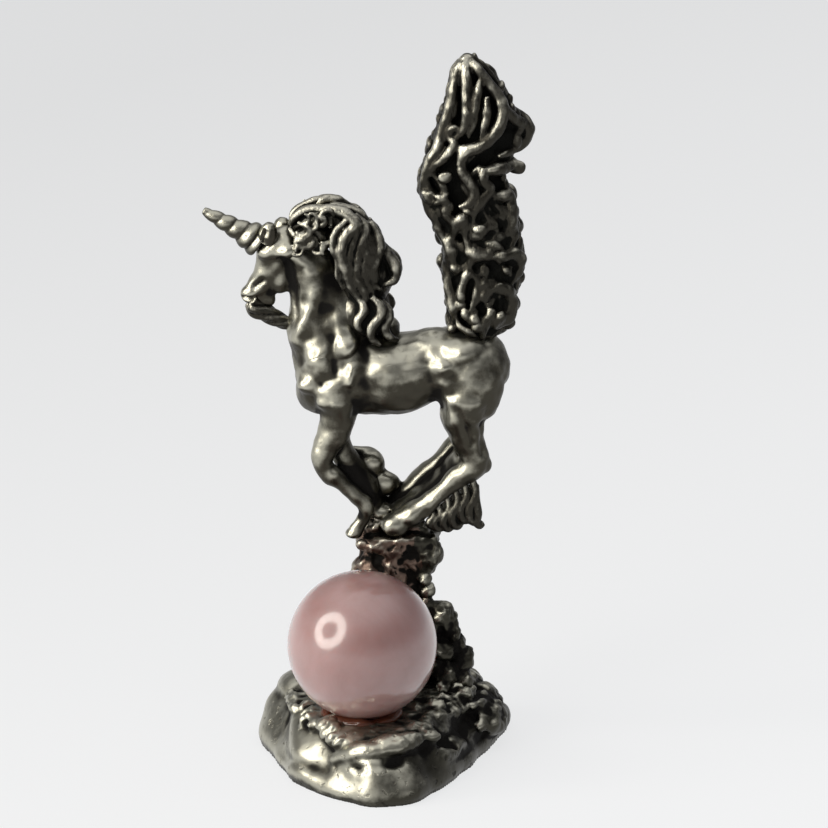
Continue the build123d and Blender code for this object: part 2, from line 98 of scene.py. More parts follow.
def lump(centre, sizes, turn=(0, 0, 0), detail=3):
    """A lump of three sizes in millimetres, turned by angles in degrees. Low detail makes it angular."""
    bpy.ops.mesh.primitive_ico_sphere_add(subdivisions=detail, radius=0.5, location=centre)
    piece = bpy.context.object
    piece.scale = sizes
    piece.rotation_euler = Euler([math.radians(angle) for angle in turn])
    return piece


def rods(courses, flatness=1.0):
    """Round rods through points (x, y, z, radius) in millimetres, flattened towards the middle plane."""
    curve = bpy.data.curves.new("rods", "CURVE")
    curve.dimensions = "3D"
    curve.bevel_depth = 1.0
    thick = courses[0][0][3] > 1
    curve.bevel_resolution = 10 if thick else 3
    curve.resolution_u = 8
    curve.use_fill_caps = True
    for course in courses:
        spline = curve.splines.new("BEZIER")
        spline.bezier_points.add(len(course) - 1)
        for point, (x, y, z, radius) in zip(spline.bezier_points, course):
            point.co = (x, y, z)
            point.radius = radius
            point.handle_left_type = "AUTO"
            point.handle_right_type = "AUTO"
    piece = bpy.data.objects.new("rods", curve)
    bpy.context.scene.collection.objects.link(piece)
    select_only(piece)
    bpy.ops.object.convert(target="MESH")
    piece = bpy.context.object
    piece.location.y = ROOM_MIDDLE * (1 - flatness)
    piece.scale.y = flatness
    return piece


def cast(pieces, name, grain, washes):
    """Fuses pieces into one cast skin: joined, remeshed at the grain in millimetres and smoothed."""
    select_only(*pieces)
    bpy.ops.object.join()
    piece = bpy.context.object
    piece.name = piece.data.name = name
    bpy.ops.object.transform_apply(location=True, rotation=True, scale=True)
    remesh = piece.modifiers.new("mould", "REMESH")
    remesh.mode = "VOXEL"
    remesh.voxel_size = grain
    bpy.ops.object.modifier_apply(modifier="mould")
    smooth = piece.modifiers.new("wash", "SMOOTH")
    smooth.factor = 0.5
    smooth.iterations = washes
    bpy.ops.object.modifier_apply(modifier="wash")
    bpy.ops.object.shade_smooth()
    return piece


def points_of(piece):
    """The mesh's points and their normals, as two arrays."""
    count = len(piece.data.vertices)
    points, normals = np.empty(count * 3), np.empty(count * 3, np.float32)
    piece.data.vertices.foreach_get("co", points)
    piece.data.vertex_normals.foreach_get("vector", normals)
    return points.reshape(-1, 3), normals.reshape(-1, 3)


def move_points(piece, points):
    """Puts the mesh's points where the array says."""
    piece.data.vertices.foreach_set("co", np.ascontiguousarray(points, dtype=np.float32).ravel())
    piece.data.update()


def roughen(piece, size, height, seed, share_of=None):
    """Moves the skin in and out by cloudy noise, both sizes in millimetres. Where it is given, share_of
    says for each point how much of the height it gets."""
    points, normals = points_of(piece)
    away = Vector((seed * 17.3, seed * 5.1, seed * 9.7))
    waves = np.array([noise.noise(Vector(point) / size + away) for point in points])
    if share_of:
        waves *= share_of(points)
    move_points(piece, points + normals * (height * waves)[:, None])


def press(piece, path, width, depth):
    """Presses a groove along a path, or a round hollow at one point. A negative depth raises the skin."""
    points, normals = points_of(piece)
    path = np.array(path, float)
    nearest = np.linalg.norm(points - path[0], axis=1)
    for start, end in zip(path[:-1], path[1:]):
        way = end - start
        share = np.clip((points - start) @ way / (way @ way), 0, 1)
        nearest = np.minimum(nearest, np.linalg.norm(points - start - share[:, None] * way, axis=1))
    move_points(piece, points - normals * (depth * np.exp(-(nearest / width) ** 2))[:, None])


def mark_hollows(piece, reach, depth, painted_highlight_level=0.0, spots=(), under=None):
    """Stores from 0 to 1 how deep each point lies in a hollow, and how bright it is from wear and painted
    highlight.
    Points that stand out of a smoothed skin are worn bright, and the level says how bright the flats get,
    both only where the points face up and to the left, towards the lamps, front and back alike: a painted
    highlight.
    Spots are places (centre, width, gain) painted brighter, as wear and painted highlight, or painted darker
    as painted shade if the gain is negative. Where it is given, under says how far each point lies under
    cover."""
    points, normals = points_of(piece)
    count = len(points)
    edges = np.empty(len(piece.data.edges) * 2, np.int64)
    piece.data.edges.foreach_get("vertices", edges)
    one, other = edges[0::2], edges[1::2]
    degree = np.maximum(np.bincount(edges, minlength=count), 1)
    smooth = points.copy()
    for _ in range(reach):
        for axis in range(3):
            line = smooth[:, axis]
            total = np.bincount(one, line[other], count) + np.bincount(other, line[one], count)
            smooth[:, axis] = 0.4 * line + 0.6 * total / degree
    sunk = ((smooth - points) * normals).sum(1) / depth
    if under:
        sunk += under(points)
    for centre, width, gain in spots:
        sunk -= gain * np.exp(-(np.linalg.norm(points - np.array(centre), axis=1) / width) ** 2)
    # Painted highlight: points that face up and to the left, towards the lamps, front and back alike, are
    # painted brighter; the stored bright share is this painted highlight over the flats and the wear on
    # raised places.
    outward = np.column_stack((normals[:, 0], -np.abs(normals[:, 1]), normals[:, 2]))
    lit_share = np.clip(0.3 + 0.9 * outward @ PAINTED_LIGHT_WAY, 0, 1) ** 2
    for name, values in (("hollow", sunk), ("worn_and_lit", lit_share * (painted_highlight_level - sunk))):
        attribute = piece.data.attributes.new(name, "FLOAT", "POINT")
        attribute.data.foreach_set("value", np.clip(values, 0, 1).astype(np.float32))


def to_metres(piece, *finishes):
    """Shrinks a piece from millimetres to metres, with its place in its mesh, and gives it its finishes."""
    select_only(piece)
    piece.scale = (MM,) * 3
    bpy.ops.object.transform_apply(location=True, rotation=True, scale=True)
    for finish in finishes:
        piece.data.materials.append(finish)


def set_values(node, **values):
    """Sets a node's properties and inputs: names of inputs are given with underscores."""
    for name, value in values.items():
        if hasattr(node, name):
            setattr(node, name, value)
        else:
            node.inputs[name.replace("_", " ")].default_value = value


def node_of(tree, kind, **values):
    """A new node with its properties and inputs set."""
    node = tree.nodes.new(kind)
    set_values(node, **values)
    return node


def new_finish(name):
    """A new material, with its node tree and its shader."""
    material = bpy.data.materials.new(name)
    material.use_nodes = True
    return material, material.node_tree, material.node_tree.nodes["Principled BSDF"]


MIX_FIRST_COLOUR, MIX_SECOND_COLOUR, MIX_RESULT_COLOUR = 6, 7, 2


def antique_finish_with_painted_light():
    """The shared group for toned pewter: its colour, with painted highlight and painted shade, its roughness,
    how metallic it is and its height.
    """
    tree = bpy.data.node_groups.new("antique finish with painted light", "ShaderNodeTree")
    colours = ("Metal", "Polish", "Tone")
    values = ("Hollow", "Worn and lit", "Toning", "Pits", "Pit size", "Strands")
    for name in colours:
        tree.interface.new_socket(name, in_out="INPUT", socket_type="NodeSocketColor")
    for name in values:
        tree.interface.new_socket(name, in_out="INPUT", socket_type="NodeSocketFloat")
    tree.interface.new_socket("Colour", in_out="OUTPUT", socket_type="NodeSocketColor")
    for name in ("Roughness", "Metallic", "Height"):
        tree.interface.new_socket(name, in_out="OUTPUT", socket_type="NodeSocketFloat")
    entry, leave = tree.nodes.new("NodeGroupInput"), tree.nodes.new("NodeGroupOutput")
    link = tree.links.new

    def math_node(operation, first, second=None, clamp=False):
        node = node_of(tree, "ShaderNodeMath", operation=operation, use_clamp=clamp)
        for socket, value in zip(node.inputs, (first, second)):
            if isinstance(value, (int, float)):
                socket.default_value = value
            elif value is not None:
                link(value, socket)
        return node.outputs[0]

    def ramp(value, low, high):
        node = node_of(tree, "ShaderNodeMapRange", interpolation_type="SMOOTHSTEP",
                       From_Min=low, From_Max=high)
        link(value, node.inputs["Value"])
        return node.outputs["Result"]

    def mix(share, first, second):
        node = node_of(tree, "ShaderNodeMix", data_type="RGBA")
        link(share, node.inputs["Factor"])
        link(first, node.inputs[MIX_FIRST_COLOUR])
        link(second, node.inputs[MIX_SECOND_COLOUR])
        return node.outputs[MIX_RESULT_COLOUR]

    place = tree.nodes.new("ShaderNodeTexCoord")
    scaled = node_of(tree, "ShaderNodeVectorMath", operation="SCALE", Scale=1 / MM)
    link(place.outputs["Object"], scaled.inputs[0])
    cloud = node_of(tree, "ShaderNodeTexNoise", Scale=0.55, Detail=5.0, Roughness=0.6)
    grain = node_of(tree, "ShaderNodeTexNoise", Scale=5.0, Detail=3.0, Roughness=0.6)
    pits = node_of(tree, "ShaderNodeTexNoise", Detail=2.0, Roughness=0.5, Distortion=0.6)
    link(entry.outputs["Pit size"], pits.inputs["Scale"])
    for texture in (cloud, grain, pits):
        link(scaled.outputs[0], texture.inputs["Vector"])
    drawn = node_of(tree, "ShaderNodeVectorMath", operation="MULTIPLY")
    drawn.inputs[1].default_value = (1, 1, 0.25)
    link(scaled.outputs[0], drawn.inputs[0])
    hairs = node_of(tree, "ShaderNodeTexNoise", Scale=2.6, Detail=3.0, Roughness=0.6)
    link(drawn.outputs[0], hairs.inputs["Vector"])
    strand = math_node("MULTIPLY", math_node("SUBTRACT", 0.5, hairs.outputs[0]), entry.outputs["Strands"])
    pit = math_node("MULTIPLY", ramp(pits.outputs[0], 0.6, 0.72), entry.outputs["Pits"])
    uneven = math_node("MULTIPLY", math_node("SUBTRACT", cloud.outputs[0], 0.5), 0.8)
    # Dark share: the patina in the hollows, with the painted shade of the darker spots.
    toned = math_node("MULTIPLY", entry.outputs["Hollow"], entry.outputs["Toning"])
    sunk = math_node("ADD", math_node("ADD", toned, uneven), strand)
    dark = math_node("MAXIMUM", ramp(sunk, 0.08, 0.5), pit)
    # Bright share: wear on raised places and the painted highlight on the sides towards the lamps.
    bright = ramp(math_node("ADD", entry.outputs["Worn and lit"], uneven), 0.12, 0.7)
    metal = mix(bright, entry.outputs["Metal"], entry.outputs["Polish"])
    colour = mix(dark, metal, entry.outputs["Tone"])
    link(colour, leave.inputs["Colour"])
    shine = math_node("SUBTRACT", 0.4, math_node("MULTIPLY", bright, 0.08))
    matt = math_node("ADD", shine, math_node("MULTIPLY", dark, 0.3))
    grainy = math_node("MULTIPLY", math_node("SUBTRACT", grain.outputs[0], 0.5), 0.1)
    link(math_node("ADD", matt, grainy, clamp=True), leave.inputs["Roughness"])
    link(math_node("SUBTRACT", 1.0, math_node("MULTIPLY", dark, 0.55)), leave.inputs["Metallic"])
    lift = math_node("SUBTRACT", math_node("MULTIPLY", grain.outputs[0], 0.05), pit)
    link(math_node("SUBTRACT", lift, strand), leave.inputs["Height"])
    return tree


ANTIQUE_WITH_PAINTED_LIGHT = antique_finish_with_painted_light()


def pewter(name, metal, polish, tone, toning, pits, pit_size, strands=0.0):
    """A pewter material: its plain colour, its polished colour that also serves as painted highlight, the
    tone in its hollows, its pits and hairs.
    """
    material, tree, shader = new_finish(name)
    set_values(shader, Specular_IOR_Level=0.15)
    finish = tree.nodes.new("ShaderNodeGroup")
    finish.node_tree = ANTIQUE_WITH_PAINTED_LIGHT
    for socket, colour in (("Metal", metal), ("Polish", polish), ("Tone", tone)):
        finish.inputs[socket].default_value = (*colour, 1)
    for socket, value in (("Toning", toning), ("Pits", pits), ("Pit size", pit_size), ("Strands", strands)):
        finish.inputs[socket].default_value = value
    for socket, attribute in (("Hollow", "hollow"), ("Worn and lit", "worn_and_lit")):
        reader = node_of(tree, "ShaderNodeAttribute", attribute_name=attribute)
        tree.links.new(reader.outputs["Fac"], finish.inputs[socket])
    bump = node_of(tree, "ShaderNodeBump", Strength=0.7, Distance=0.12 * MM)
    tree.links.new(finish.outputs["Height"], bump.inputs["Height"])
    for output, socket in (("Colour", "Base Color"), ("Roughness", "Roughness"), ("Metallic", "Metallic")):
        tree.links.new(finish.outputs[output], shader.inputs[socket])
    tree.links.new(bump.outputs["Normal"], shader.inputs["Normal"])
    return material


ROCK_PEWTER = pewter("rock pewter", metal=(0.05, 0.047, 0.037), polish=(0.47, 0.455, 0.375),
                     tone=(0.008, 0.007, 0.006), toning=1.3, pits=0.5, pit_size=1.3)
SHOULDERS = [((-8.6, 7.2, 4.6), (5.4, 8.0, 4.6), (0, 10, 0)), ((9.6, 5.6, 3.4), (7.0, 10.0, 4.8), (0, 20, 0))]
CRUSTS = [
    ((-9.2, 2.0, 5.9), (-7.6, -4.0, 5.9)), ((-7.8, -4.4, 5.9), (-4.2, -9.6, 5.5)),
    ((-6.6, -5.8, 6.2), (-3.4, -9.6, 5.9)), ((5.4, -2.6, 6.3), (8.6, 4.2, 6.2)),
    ((-6.0, 9.2, 6.2), (5.0, 11.0, 6.2)),
]
CRUST_LUMPS = 18
FOOT_FOLDS = [
    (0.7, 0.4, [(-12.2, -1.0, 1.6), (-9.6, -7.2, 2.2), (-6.4, -11.0, 2.9)]),
    (0.45, 0.4, [(-3.6, -13.2, 3.7), (-0.8, -13.6, 3.7), (2.2, -12.6, 4.2)]),
    (0.5, -0.5, [(5.2, -4.6, 5.8), (8.0, -1.0, 5.4), (10.4, 3.4, 4.8)]),
    (0.6, -0.5, [(6.8, -8.6, 3.2), (7.9, -5.4, 3.1), (8.9, -2.0, 3.1), (9.8, 1.0, 3.1), (10.7, 3.0, 3.1)]),
    (0.45, 0.8, [(6.0, -8.6, 4.6), (6.9, -5.4, 4.6), (8.1, -2.0, 4.5), (9.1, 1.0, 4.5), (10.0, 3.0, 4.5)]),
    (0.4, 0.5, [(7.2, -8.5, 2.0), (8.6, -5.4, 2.0), (9.7, -2.0, 1.9), (10.5, 1.0, 1.9)]),
    (0.35, 0.6, [(5.4, -7.0, 5.8), (7.6, -6.0, 3.4)]),
    (0.35, 0.6, [(7.6, -2.6, 4.9), (9.4, -2.6, 2.4)]),
    (0.35, 0.6, [(8.8, 0.6, 5.0), (10.6, 1.8, 2.2)]),
]
FOOT_HOLES = [
    (0.8, (3.9, -9.6, 4.6)), (1.0, (6.3, -6.8, 4.3)), (0.9, (8.8, -2.2, 4.2)), (0.8, (10.4, 2.4, 3.6)),
    (0.8, (11.4, 6.0, 4.0)), (0.6, (7.4, -4.6, 2.6)), (0.7, (-10.6, 0.4, 4.4)), (0.7, (9.6, 5.6, 5.6)),
]
HOLE_DEPTH = 0.7
# Spots (centre, width, gain): painted shade on the right flank and the front right, painted highlight on the
# front and the left, towards the lamps.
FOOT_SPOTS = [
    ((9.0, -3.0, 4.0), 3.6, -0.5), ((11.0, 4.0, 4.0), 3.6, -0.5), ((5.5, -7.5, 4.5), 2.2, -0.4),
    ((-10.4, -5.0, 2.4), 2.6, 0.5), ((-4.4, -12.4, 2.0), 2.2, 0.6), ((-6.0, -7.6, 6.2), 2.6, 0.6),
]
SOLE_LIFT = 0.25

dice = random.Random(CRUST_SEED)
foot_pieces = [copy_of("rock_foot")]
for centre, sizes, turn in SHOULDERS:
    foot_pieces.append(lump(centre, sizes, turn))
for start, end in CRUSTS:
    for _ in range(CRUST_LUMPS):
        middle = Vector(start).lerp(Vector(end), dice.random())
        middle += Vector((dice.uniform(-0.9, 0.9), dice.uniform(-0.9, 0.9), dice.uniform(-0.2, 0.3)))
        sizes = [dice.uniform(0.9, 2.2) for _ in range(3)]
        foot_pieces.append(lump(middle, sizes, [dice.uniform(0, 180) for _ in range(3)], 1))
foot = cast(foot_pieces, "rock_foot_skin", FOOT_GRAIN, washes=3)
for width, depth, path in FOOT_FOLDS:
    press(foot, path, width, depth)
for width, centre in FOOT_HOLES:
    press(foot, [centre], width, HOLE_DEPTH)


def craggy(points):
    """How rough the rock is: smooth on the skirt at the front and left, craggy above it and to the right."""
    return np.clip(0.12 + 0.3 * (points[:, 2] - 3.4) + 0.09 * (points[:, 0] - 4.0), 0.1, 1)


roughen(foot, size=3.6, height=0.3, seed=10)
roughen(foot, size=1.5, height=0.4, seed=1, share_of=craggy)
roughen(foot, size=0.6, height=0.16, seed=2, share_of=craggy)
foot_points, _ = points_of(foot)
foot_points[:, 2] = np.where(foot_points[:, 2] < SOLE_LIFT, 0.0, foot_points[:, 2])
move_points(foot, foot_points)
mark_hollows(foot, reach=60, depth=0.35, painted_highlight_level=0.45, spots=FOOT_SPOTS)
to_metres(foot, ROCK_PEWTER)
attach(foot, "root")
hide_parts("rock_foot")


# The rock spire: a pillar of the same rough pewter that stands in the foot on a tenon. Its front is filed
# flat and worn, its ledge has a rolled edge and an ear-shaped lobe, and knobs of rubble climb its tail side.

SPIRE_GRAIN = 0.16
SPIRE_LUMPS = [
    ((4.5, 5.6, 20.2), (3.0, 3.6, 4.0), (0, 24, 0), 3), ((-0.6, 4.6, 21.6), (4.6, 2.6, 1.8), (0, 8, 0), 3),
    ((-1.5, 6.2, 18.4), (3.6, 4.0, 8.0), (0, 20, 0), 2), ((3.2, 6.0, 22.2), (3.4, 3.4, 1.8), (0, 12, 30), 2),
    ((3.4, 6.6, 23.0), (3.6, 3.0, 1.8), (0, 20, 0), 2), ((-0.9, 6.8, 23.0), (2.8, 3.0, 2.8), (0, 30, 0), 2),
    ((-1.6, 6.8, 22.3), (2.6, 3.0, 1.6), (0, -10, 10), 2),
]
RUBBLE = [
    ((4.1, 4.6, 18.0), 1.5), ((4.6, 5.0, 16.6), 1.6), ((4.5, 4.8, 15.0), 1.8), ((6.0, 4.9, 14.0), 2.9),
    ((6.6, 5.0, 12.6), 2.6), ((7.3, 5.2, 10.8), 2.5), ((8.1, 5.0, 9.0), 2.8), ((5.9, 4.0, 10.4), 2.5),
    ((6.4, 3.4, 8.0), 2.6), ((8.0, 3.8, 7.0), 2.4), ((4.8, 4.2, 12.4), 2.2), ((7.4, 4.2, 12.0), 1.4),
    ((5.2, 3.6, 8.8), 1.8), ((6.2, 2.2, 6.8), 1.6),
]
# Spots (centre, width, gain) of painted shade: on the ledge's top edge under the hooves, low on the ledge's
# front and on the rubble at the tail side.
SPIRE_SPOTS = [((-2.0, 4.0, 22.2), 1.4, -0.5), ((3.0, 4.0, 22.2), 1.8, -0.5), ((6.6, 4.4, 10.0), 4.0, -0.7),
               ((-2.4, 4.4, 19.6), 2.0, -0.3)]
WORN_ROCK = pewter("worn rock pewter", metal=(0.15, 0.105, 0.083), polish=(0.5, 0.46, 0.38),
                   tone=(0.006, 0.005, 0.004), toning=1.6, pits=1.0, pit_size=0.9)
LEDGE_TOP, WORN_BOTTOM, WORN_RIGHT = 22.0, 12.0, 3.4

spire_pieces = [copy_of("rock_spire")]
for centre, sizes, turn, detail in SPIRE_LUMPS:
    spire_pieces.append(lump(centre, sizes, turn, detail))
for centre, size in RUBBLE:
    turn = [dice.uniform(0, 180) for _ in range(3)]
    spire_pieces.append(lump(centre, [size * dice.uniform(0.85, 1.2) for _ in range(3)], turn, 2))
spire = cast(spire_pieces, "rock_spire_skin", SPIRE_GRAIN, washes=3)
roughen(spire, size=1.3, height=0.4, seed=3)
roughen(spire, size=0.5, height=0.12, seed=4)
mark_hollows(spire, reach=60, depth=0.3, painted_highlight_level=0.1, spots=SPIRE_SPOTS)
to_metres(spire, WORN_ROCK, ROCK_PEWTER)
for face in spire.data.polygons:
    x, y, z = face.center / MM
    stray = 2.5 * noise.noise(Vector((x, y, z)) / 1.4)
    right_edge = WORN_RIGHT + 0.16 * (LEDGE_TOP - z) + 0.4 * stray
    face.material_index = int(x > right_edge or z < WORN_BOTTOM + stray)
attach(spire, "root")
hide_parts("rock_spire")


# The stone ball: a sphere of cloudy rose quartz, ground by hand until it is very nearly round and then
# polished. It rests in the cup of the foot, against the front of the spire.

BALL_LOW, BALL_HIGH = (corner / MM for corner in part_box("stone_ball"))
BALL_MIDDLE = (BALL_LOW + BALL_HIGH) / 2
BALL_RADIUS = (BALL_HIGH.x - BALL_LOW.x) / 2


def rose_stone():
    """Cloudy pink stone: milky clouds under a clear polish."""
    material, tree, shader = new_finish("rose stone")
    place = tree.nodes.new("ShaderNodeTexCoord")
    clouds = node_of(tree, "ShaderNodeTexNoise", Scale=160.0, Detail=6.0, Roughness=0.62, Distortion=0.8)
    tree.links.new(place.outputs["Object"], clouds.inputs["Vector"])
    ramp = tree.nodes.new("ShaderNodeValToRGB")
    ramp.color_ramp.elements[0].position = 0.3
    ramp.color_ramp.elements[0].color = (0.32, 0.183, 0.172, 1)
    ramp.color_ramp.elements[1].position = 0.72
    ramp.color_ramp.elements[1].color = (0.395, 0.25, 0.24, 1)
    tree.links.new(clouds.outputs[0], ramp.inputs["Fac"])
    tree.links.new(ramp.outputs["Color"], shader.inputs["Base Color"])
    set_values(shader, Roughness=0.3, IOR=1.54, Subsurface_Weight=1.0, Subsurface_Radius=(1.0, 0.55, 0.5),
               Subsurface_Scale=4.0 * MM, Coat_Weight=1.0, Coat_IOR=1.65, Coat_Roughness=0.12)
    return material


bpy.ops.mesh.primitive_uv_sphere_add(segments=128, ring_count=80, radius=BALL_RADIUS, location=BALL_MIDDLE)
ball = bpy.context.object
ball.name = ball.data.name = "stone_ball_skin"
bpy.ops.object.transform_apply(location=True, rotation=True, scale=True)
bpy.ops.object.shade_smooth()
roughen(ball, size=6.0, height=0.02, seed=5)
to_metres(ball, rose_stone())
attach(ball, "root")
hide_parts("stone_ball")


# The cement: a thin film of clear resin under the ball, pressed out into an uneven bead round the cup's edge.
# It has yellowed to amber.

CEMENT_LOW, CEMENT_HIGH = (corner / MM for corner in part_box("ball_cement"))
BEAD_RADIUS, BEAD_OUT, BEAD_FLATNESS = 0.75, 0.5, 0.6


def clear_cement():
    """Amber resin, glossy and half clear."""
    material, _, shader = new_finish("clear cement")
    set_values(shader, Base_Color=(0.2, 0.06, 0.03, 1), Roughness=0.12, IOR=1.5, Transmission_Weight=0.5)
    return material


cement_radius = (CEMENT_HIGH.x - CEMENT_LOW.x) / 2
bpy.ops.mesh.primitive_torus_add(
    major_segments=96, minor_segments=20, major_radius=cement_radius + BEAD_OUT, minor_radius=BEAD_RADIUS,
    location=(BALL_MIDDLE.x, BALL_MIDDLE.y, CEMENT_HIGH.z))
cement = bpy.context.object
cement.name = cement.data.name = "ball_cement_bead"
cement.scale.z = BEAD_FLATNESS
bpy.ops.object.transform_apply(location=True, rotation=True, scale=True)
bpy.ops.object.shade_smooth()
roughen(cement, size=1.8, height=0.5, seed=6)
to_metres(cement, clear_cement())
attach(cement, "root")
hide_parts("ball_cement")


# The unicorn's flesh: body, neck, head and four legs, cast apart in pewter, soldered, filed and polished
# until no seam shows, so they are one skin here. Muscles stand out as bulges between dark grooves, their tops
# bright from wear and from a painted highlight.

FLESH_GRAIN = 0.15
NEAR, OFF = -1, 1
NEAR_LEGS, OFF_LEGS = 4.9, 9.1


def offset(course, y):
    """A course in the plane (x, z, radius) moved to depth y."""
    return [(x, y, z, radius) for x, z, radius in course]


def both(centre, sizes, turn=(0, 0, 0)):
    """A lump on the near side and its mirror image on the off side."""
    x, y, z = centre
    mirrored = (-turn[0], turn[1], -turn[2])
    return [lump(centre, sizes, turn), lump((x, 2 * ROOM_MIDDLE - y, z), sizes, mirrored)]


barrel = [(-4.9, 39.6, 4.1), (-1.6, 39.6, 4.2), (1.0, 39.6, 4.25), (4.6, 40.4, 3.85), (7.4, 40.7, 3.95),
          (9.2, 40.6, 4.0)]
neck = [(-5.0, 40.8, 4.3), (-5.5, 44.2, 4.4), (-6.0, 47.4, 3.8), (-7.4, 50.5, 3.0), (-9.0, 53.0, 2.4)]
head = [(-10.0, 53.7, 2.0), (-11.0, 52.2, 2.2), (-11.8, 50.4, 1.75), (-12.8, 48.9, 1.35), (-13.4, 47.9, 1.2)]
near_hind = [(8.8, 40.6, 1.5), (8.5, 37.8, 2.8), (8.2, 35.7, 2.55), (8.45, 34.2, 2.0), (8.75, 33.0, 1.75),
             (9.2, 31.9, 1.5), (9.4, 30.8, 1.4), (8.8, 29.8, 1.3), (7.5, 28.7, 1.2), (5.8, 27.2, 1.0),
             (4.2, 25.9, 1.05), (2.9, 25.0, 1.3), (2.0, 24.5, 1.1), (1.1, 23.9, 1.15)]
off_hind = [(8.6, 40.6, 1.5), (8.4, 38.0, 2.6), (8.2, 36.0, 2.4), (7.9, 34.2, 2.0), (8.4, 32.2, 1.5),
            (7.6, 31.0, 1.3), (5.4, 28.8, 1.1), (3.5, 27.1, 1.15), (1.9, 25.4, 1.1), (0.8, 24.2, 1.15),
            (0.5, 23.6, 1.05)]
near_fore = [(-4.7, 40.0, 1.2), (-4.7, 37.4, 2.3), (-4.8, 35.4, 1.95), (-5.3, 33.7, 1.65),
             (-5.95, 32.2, 1.25), (-6.35, 31.1, 1.15), (-6.1, 30.0, 1.05), (-5.2, 29.1, 1.15),
             (-4.0, 28.1, 1.0), (-2.7, 26.8, 0.95), (-1.9, 25.7, 0.95), (-2.0, 24.8, 0.72),
             (-2.5, 23.9, 0.8), (-2.9, 23.2, 0.9)]
off_fore = [(-4.6, 40.0, 1.2), (-4.6, 37.6, 2.3), (-4.6, 35.4, 1.95), (-4.8, 33.4, 1.6), (-5.1, 31.6, 1.3),
            (-4.6, 30.3, 1.1), (-2.8, 29.9, 0.95), (-1.2, 29.5, 1.2), (-0.7, 28.3, 1.0), (-0.6, 27.2, 1.15),
            (-0.9, 26.2, 0.85)]
hind_web = [(8.2, 30.6, 1.1), (6.6, 28.9, 0.8), (4.6, 27.0, 0.8), (2.8, 25.6, 0.8), (1.2, 24.4, 0.9)]
fore_web = [(-4.8, 33.6, 1.3), (-4.5, 31.6, 1.3), (-3.8, 30.2, 1.3), (-2.9, 28.8, 1.3), (-1.9, 27.4, 1.3),
            (-1.3, 26.0, 0.9), (-1.2, 24.6, 0.9)]
toe = [(-0.8, 27.2, 1.05), (0.3, 27.3, 1.0), (1.2, 27.2, 0.7), (1.7, 27.1, 0.4)]
FLESH_LUMPS = [
    ((-5.1, 7, 39.7), (8.0, 8.0, 8.2)), ((9.1, 7, 40.6), (7.9, 8.0, 7.9)),
    ((-13.5, 7, 48.1), (2.4, 2.0, 2.2)), ((-10.1, 7, 53.6), (4.0, 3.3, 3.9)),
    ((1.1, 4.8, 23.8), (3.1, 2.7, 2.5)), ((0.6, 9.1, 23.5), (2.5, 2.4, 2.1)),
    ((-3.1, 4.9, 22.9), (2.0, 1.9, 1.4)), ((-6.6, 7, 38.0), (5.0, 6.0, 5.4)),
    ((5.4, 7, 43.6), (5.0, 3.4, 2.0)), ((-1.3, 8.6, 29.3), (3.1, 3.0, 2.9)),
    ((-0.4, 8.6, 27.2), (4.2, 3.0, 3.0)), ((-0.9, 8.8, 25.6), (2.2, 2.4, 2.2)),
    ((-0.3, 7.4, 24.4), (2.8, 3.2, 2.0)), ((-12.0, 7, 47.6), (2.2, 1.7, 2.0)),
    ((10.5, 4.9, 30.4), (1.2, 1.2, 1.6)), ((9.6, 9.1, 32.0), (1.4, 1.3, 1.7)),
]
SIDE_LUMPS = [
    ((-4.8, 5.0, 38.6), (5.6, 4.6, 7.4), (0, 0, 0)), ((8.7, 5.1, 39.0), (7.4, 5.2, 8.8), (0, -4, 0)),
    ((7.8, 5.2, 42.2), (6.0, 4.2, 4.0), (0, -16, 0)), ((-10.5, 6.6, 50.2), (3.4, 2.0, 4.0), (0, 20, 0)),
    ((-11.0, 5.9, 53.3), (4.2, 1.9, 2.3), (0, -18, 0)),
    ((-11.0, 5.75, 53.5), (3.4, 2.4, 1.2), (62.6, 0, -29)),
    ((-4.7, 5.5, 42.8), (5.0, 3.6, 7.6), (0, 0, 0)),
]
MUSCLES = [
    (1.4, -0.85, [(-6.9, 42.1, 3.0)]), (1.1, -0.85, [(-3.7, 43.2, 3.1)]), (0.95, -0.75, [(-7.9, 39.2, 2.6)]),
    (0.7, -0.5, [(6.2, 41.4, 4.0)]), (0.7, -0.5, [(6.1, 39.7, 4.2)]), (1.4, -0.4, [(8.4, 42.9, 3.4)]),
    (0.55, -0.35, [(-3.2, 41.2, 3.9), (-3.4, 39.8, 4.2)]),
    (0.6, -0.2, [(-6.4, 37.3, 3.6), (-5.2, 37.6, 4.2)]),
    (1.0, 0.34, [(-1.7, 42.6, 3.4), (-2.0, 40.4, 4.2), (-1.6, 38.6, 4.0), (-1.9, 36.4, 3.4)]),
    (0.55, 0.25, [(-5.3, 44.4, 3.2), (-5.3, 42.2, 3.7), (-5.0, 40.4, 3.9), (-6.4, 39.6, 3.6)]),
    (0.8, 0.28, [(4.7, 41.8, 3.6), (4.9, 39.6, 4.0), (5.3, 37.2, 3.6)]),
    (0.5, 0.3, [(7.6, 36.8, 5.0), (8.4, 35.2, 4.6), (9.0, 33.2, 3.8)]),
    (0.5, 0.35, [(10.4, 35.0, 3.6), (10.3, 31.8, 3.2)]),
    (0.6, 0.12, [(-8.8, 44.0, 2.4), (-6.4, 44.3, 3.4), (-2.8, 45.0, 3.6)]),
]
NECK_FOLDS = [
    (1.7, 0.6, [(-4.9, 50.4, 2.2)]), (1.4, 0.45, [(-6.0, 47.2, 2.8)]),
    (0.85, -0.6, [(-9.4, 53.2, 1.8), (-7.8, 51.8, 2.2), (-7.2, 49.4, 2.5), (-7.5, 47.4, 2.8),
                  (-8.6, 45.4, 2.6), (-9.0, 43.6, 2.2)]),
    (0.5, 0.5, [(-9.8, 51.8, 1.7), (-9.3, 49.4, 1.8), (-9.5, 47.4, 1.6)]),
]
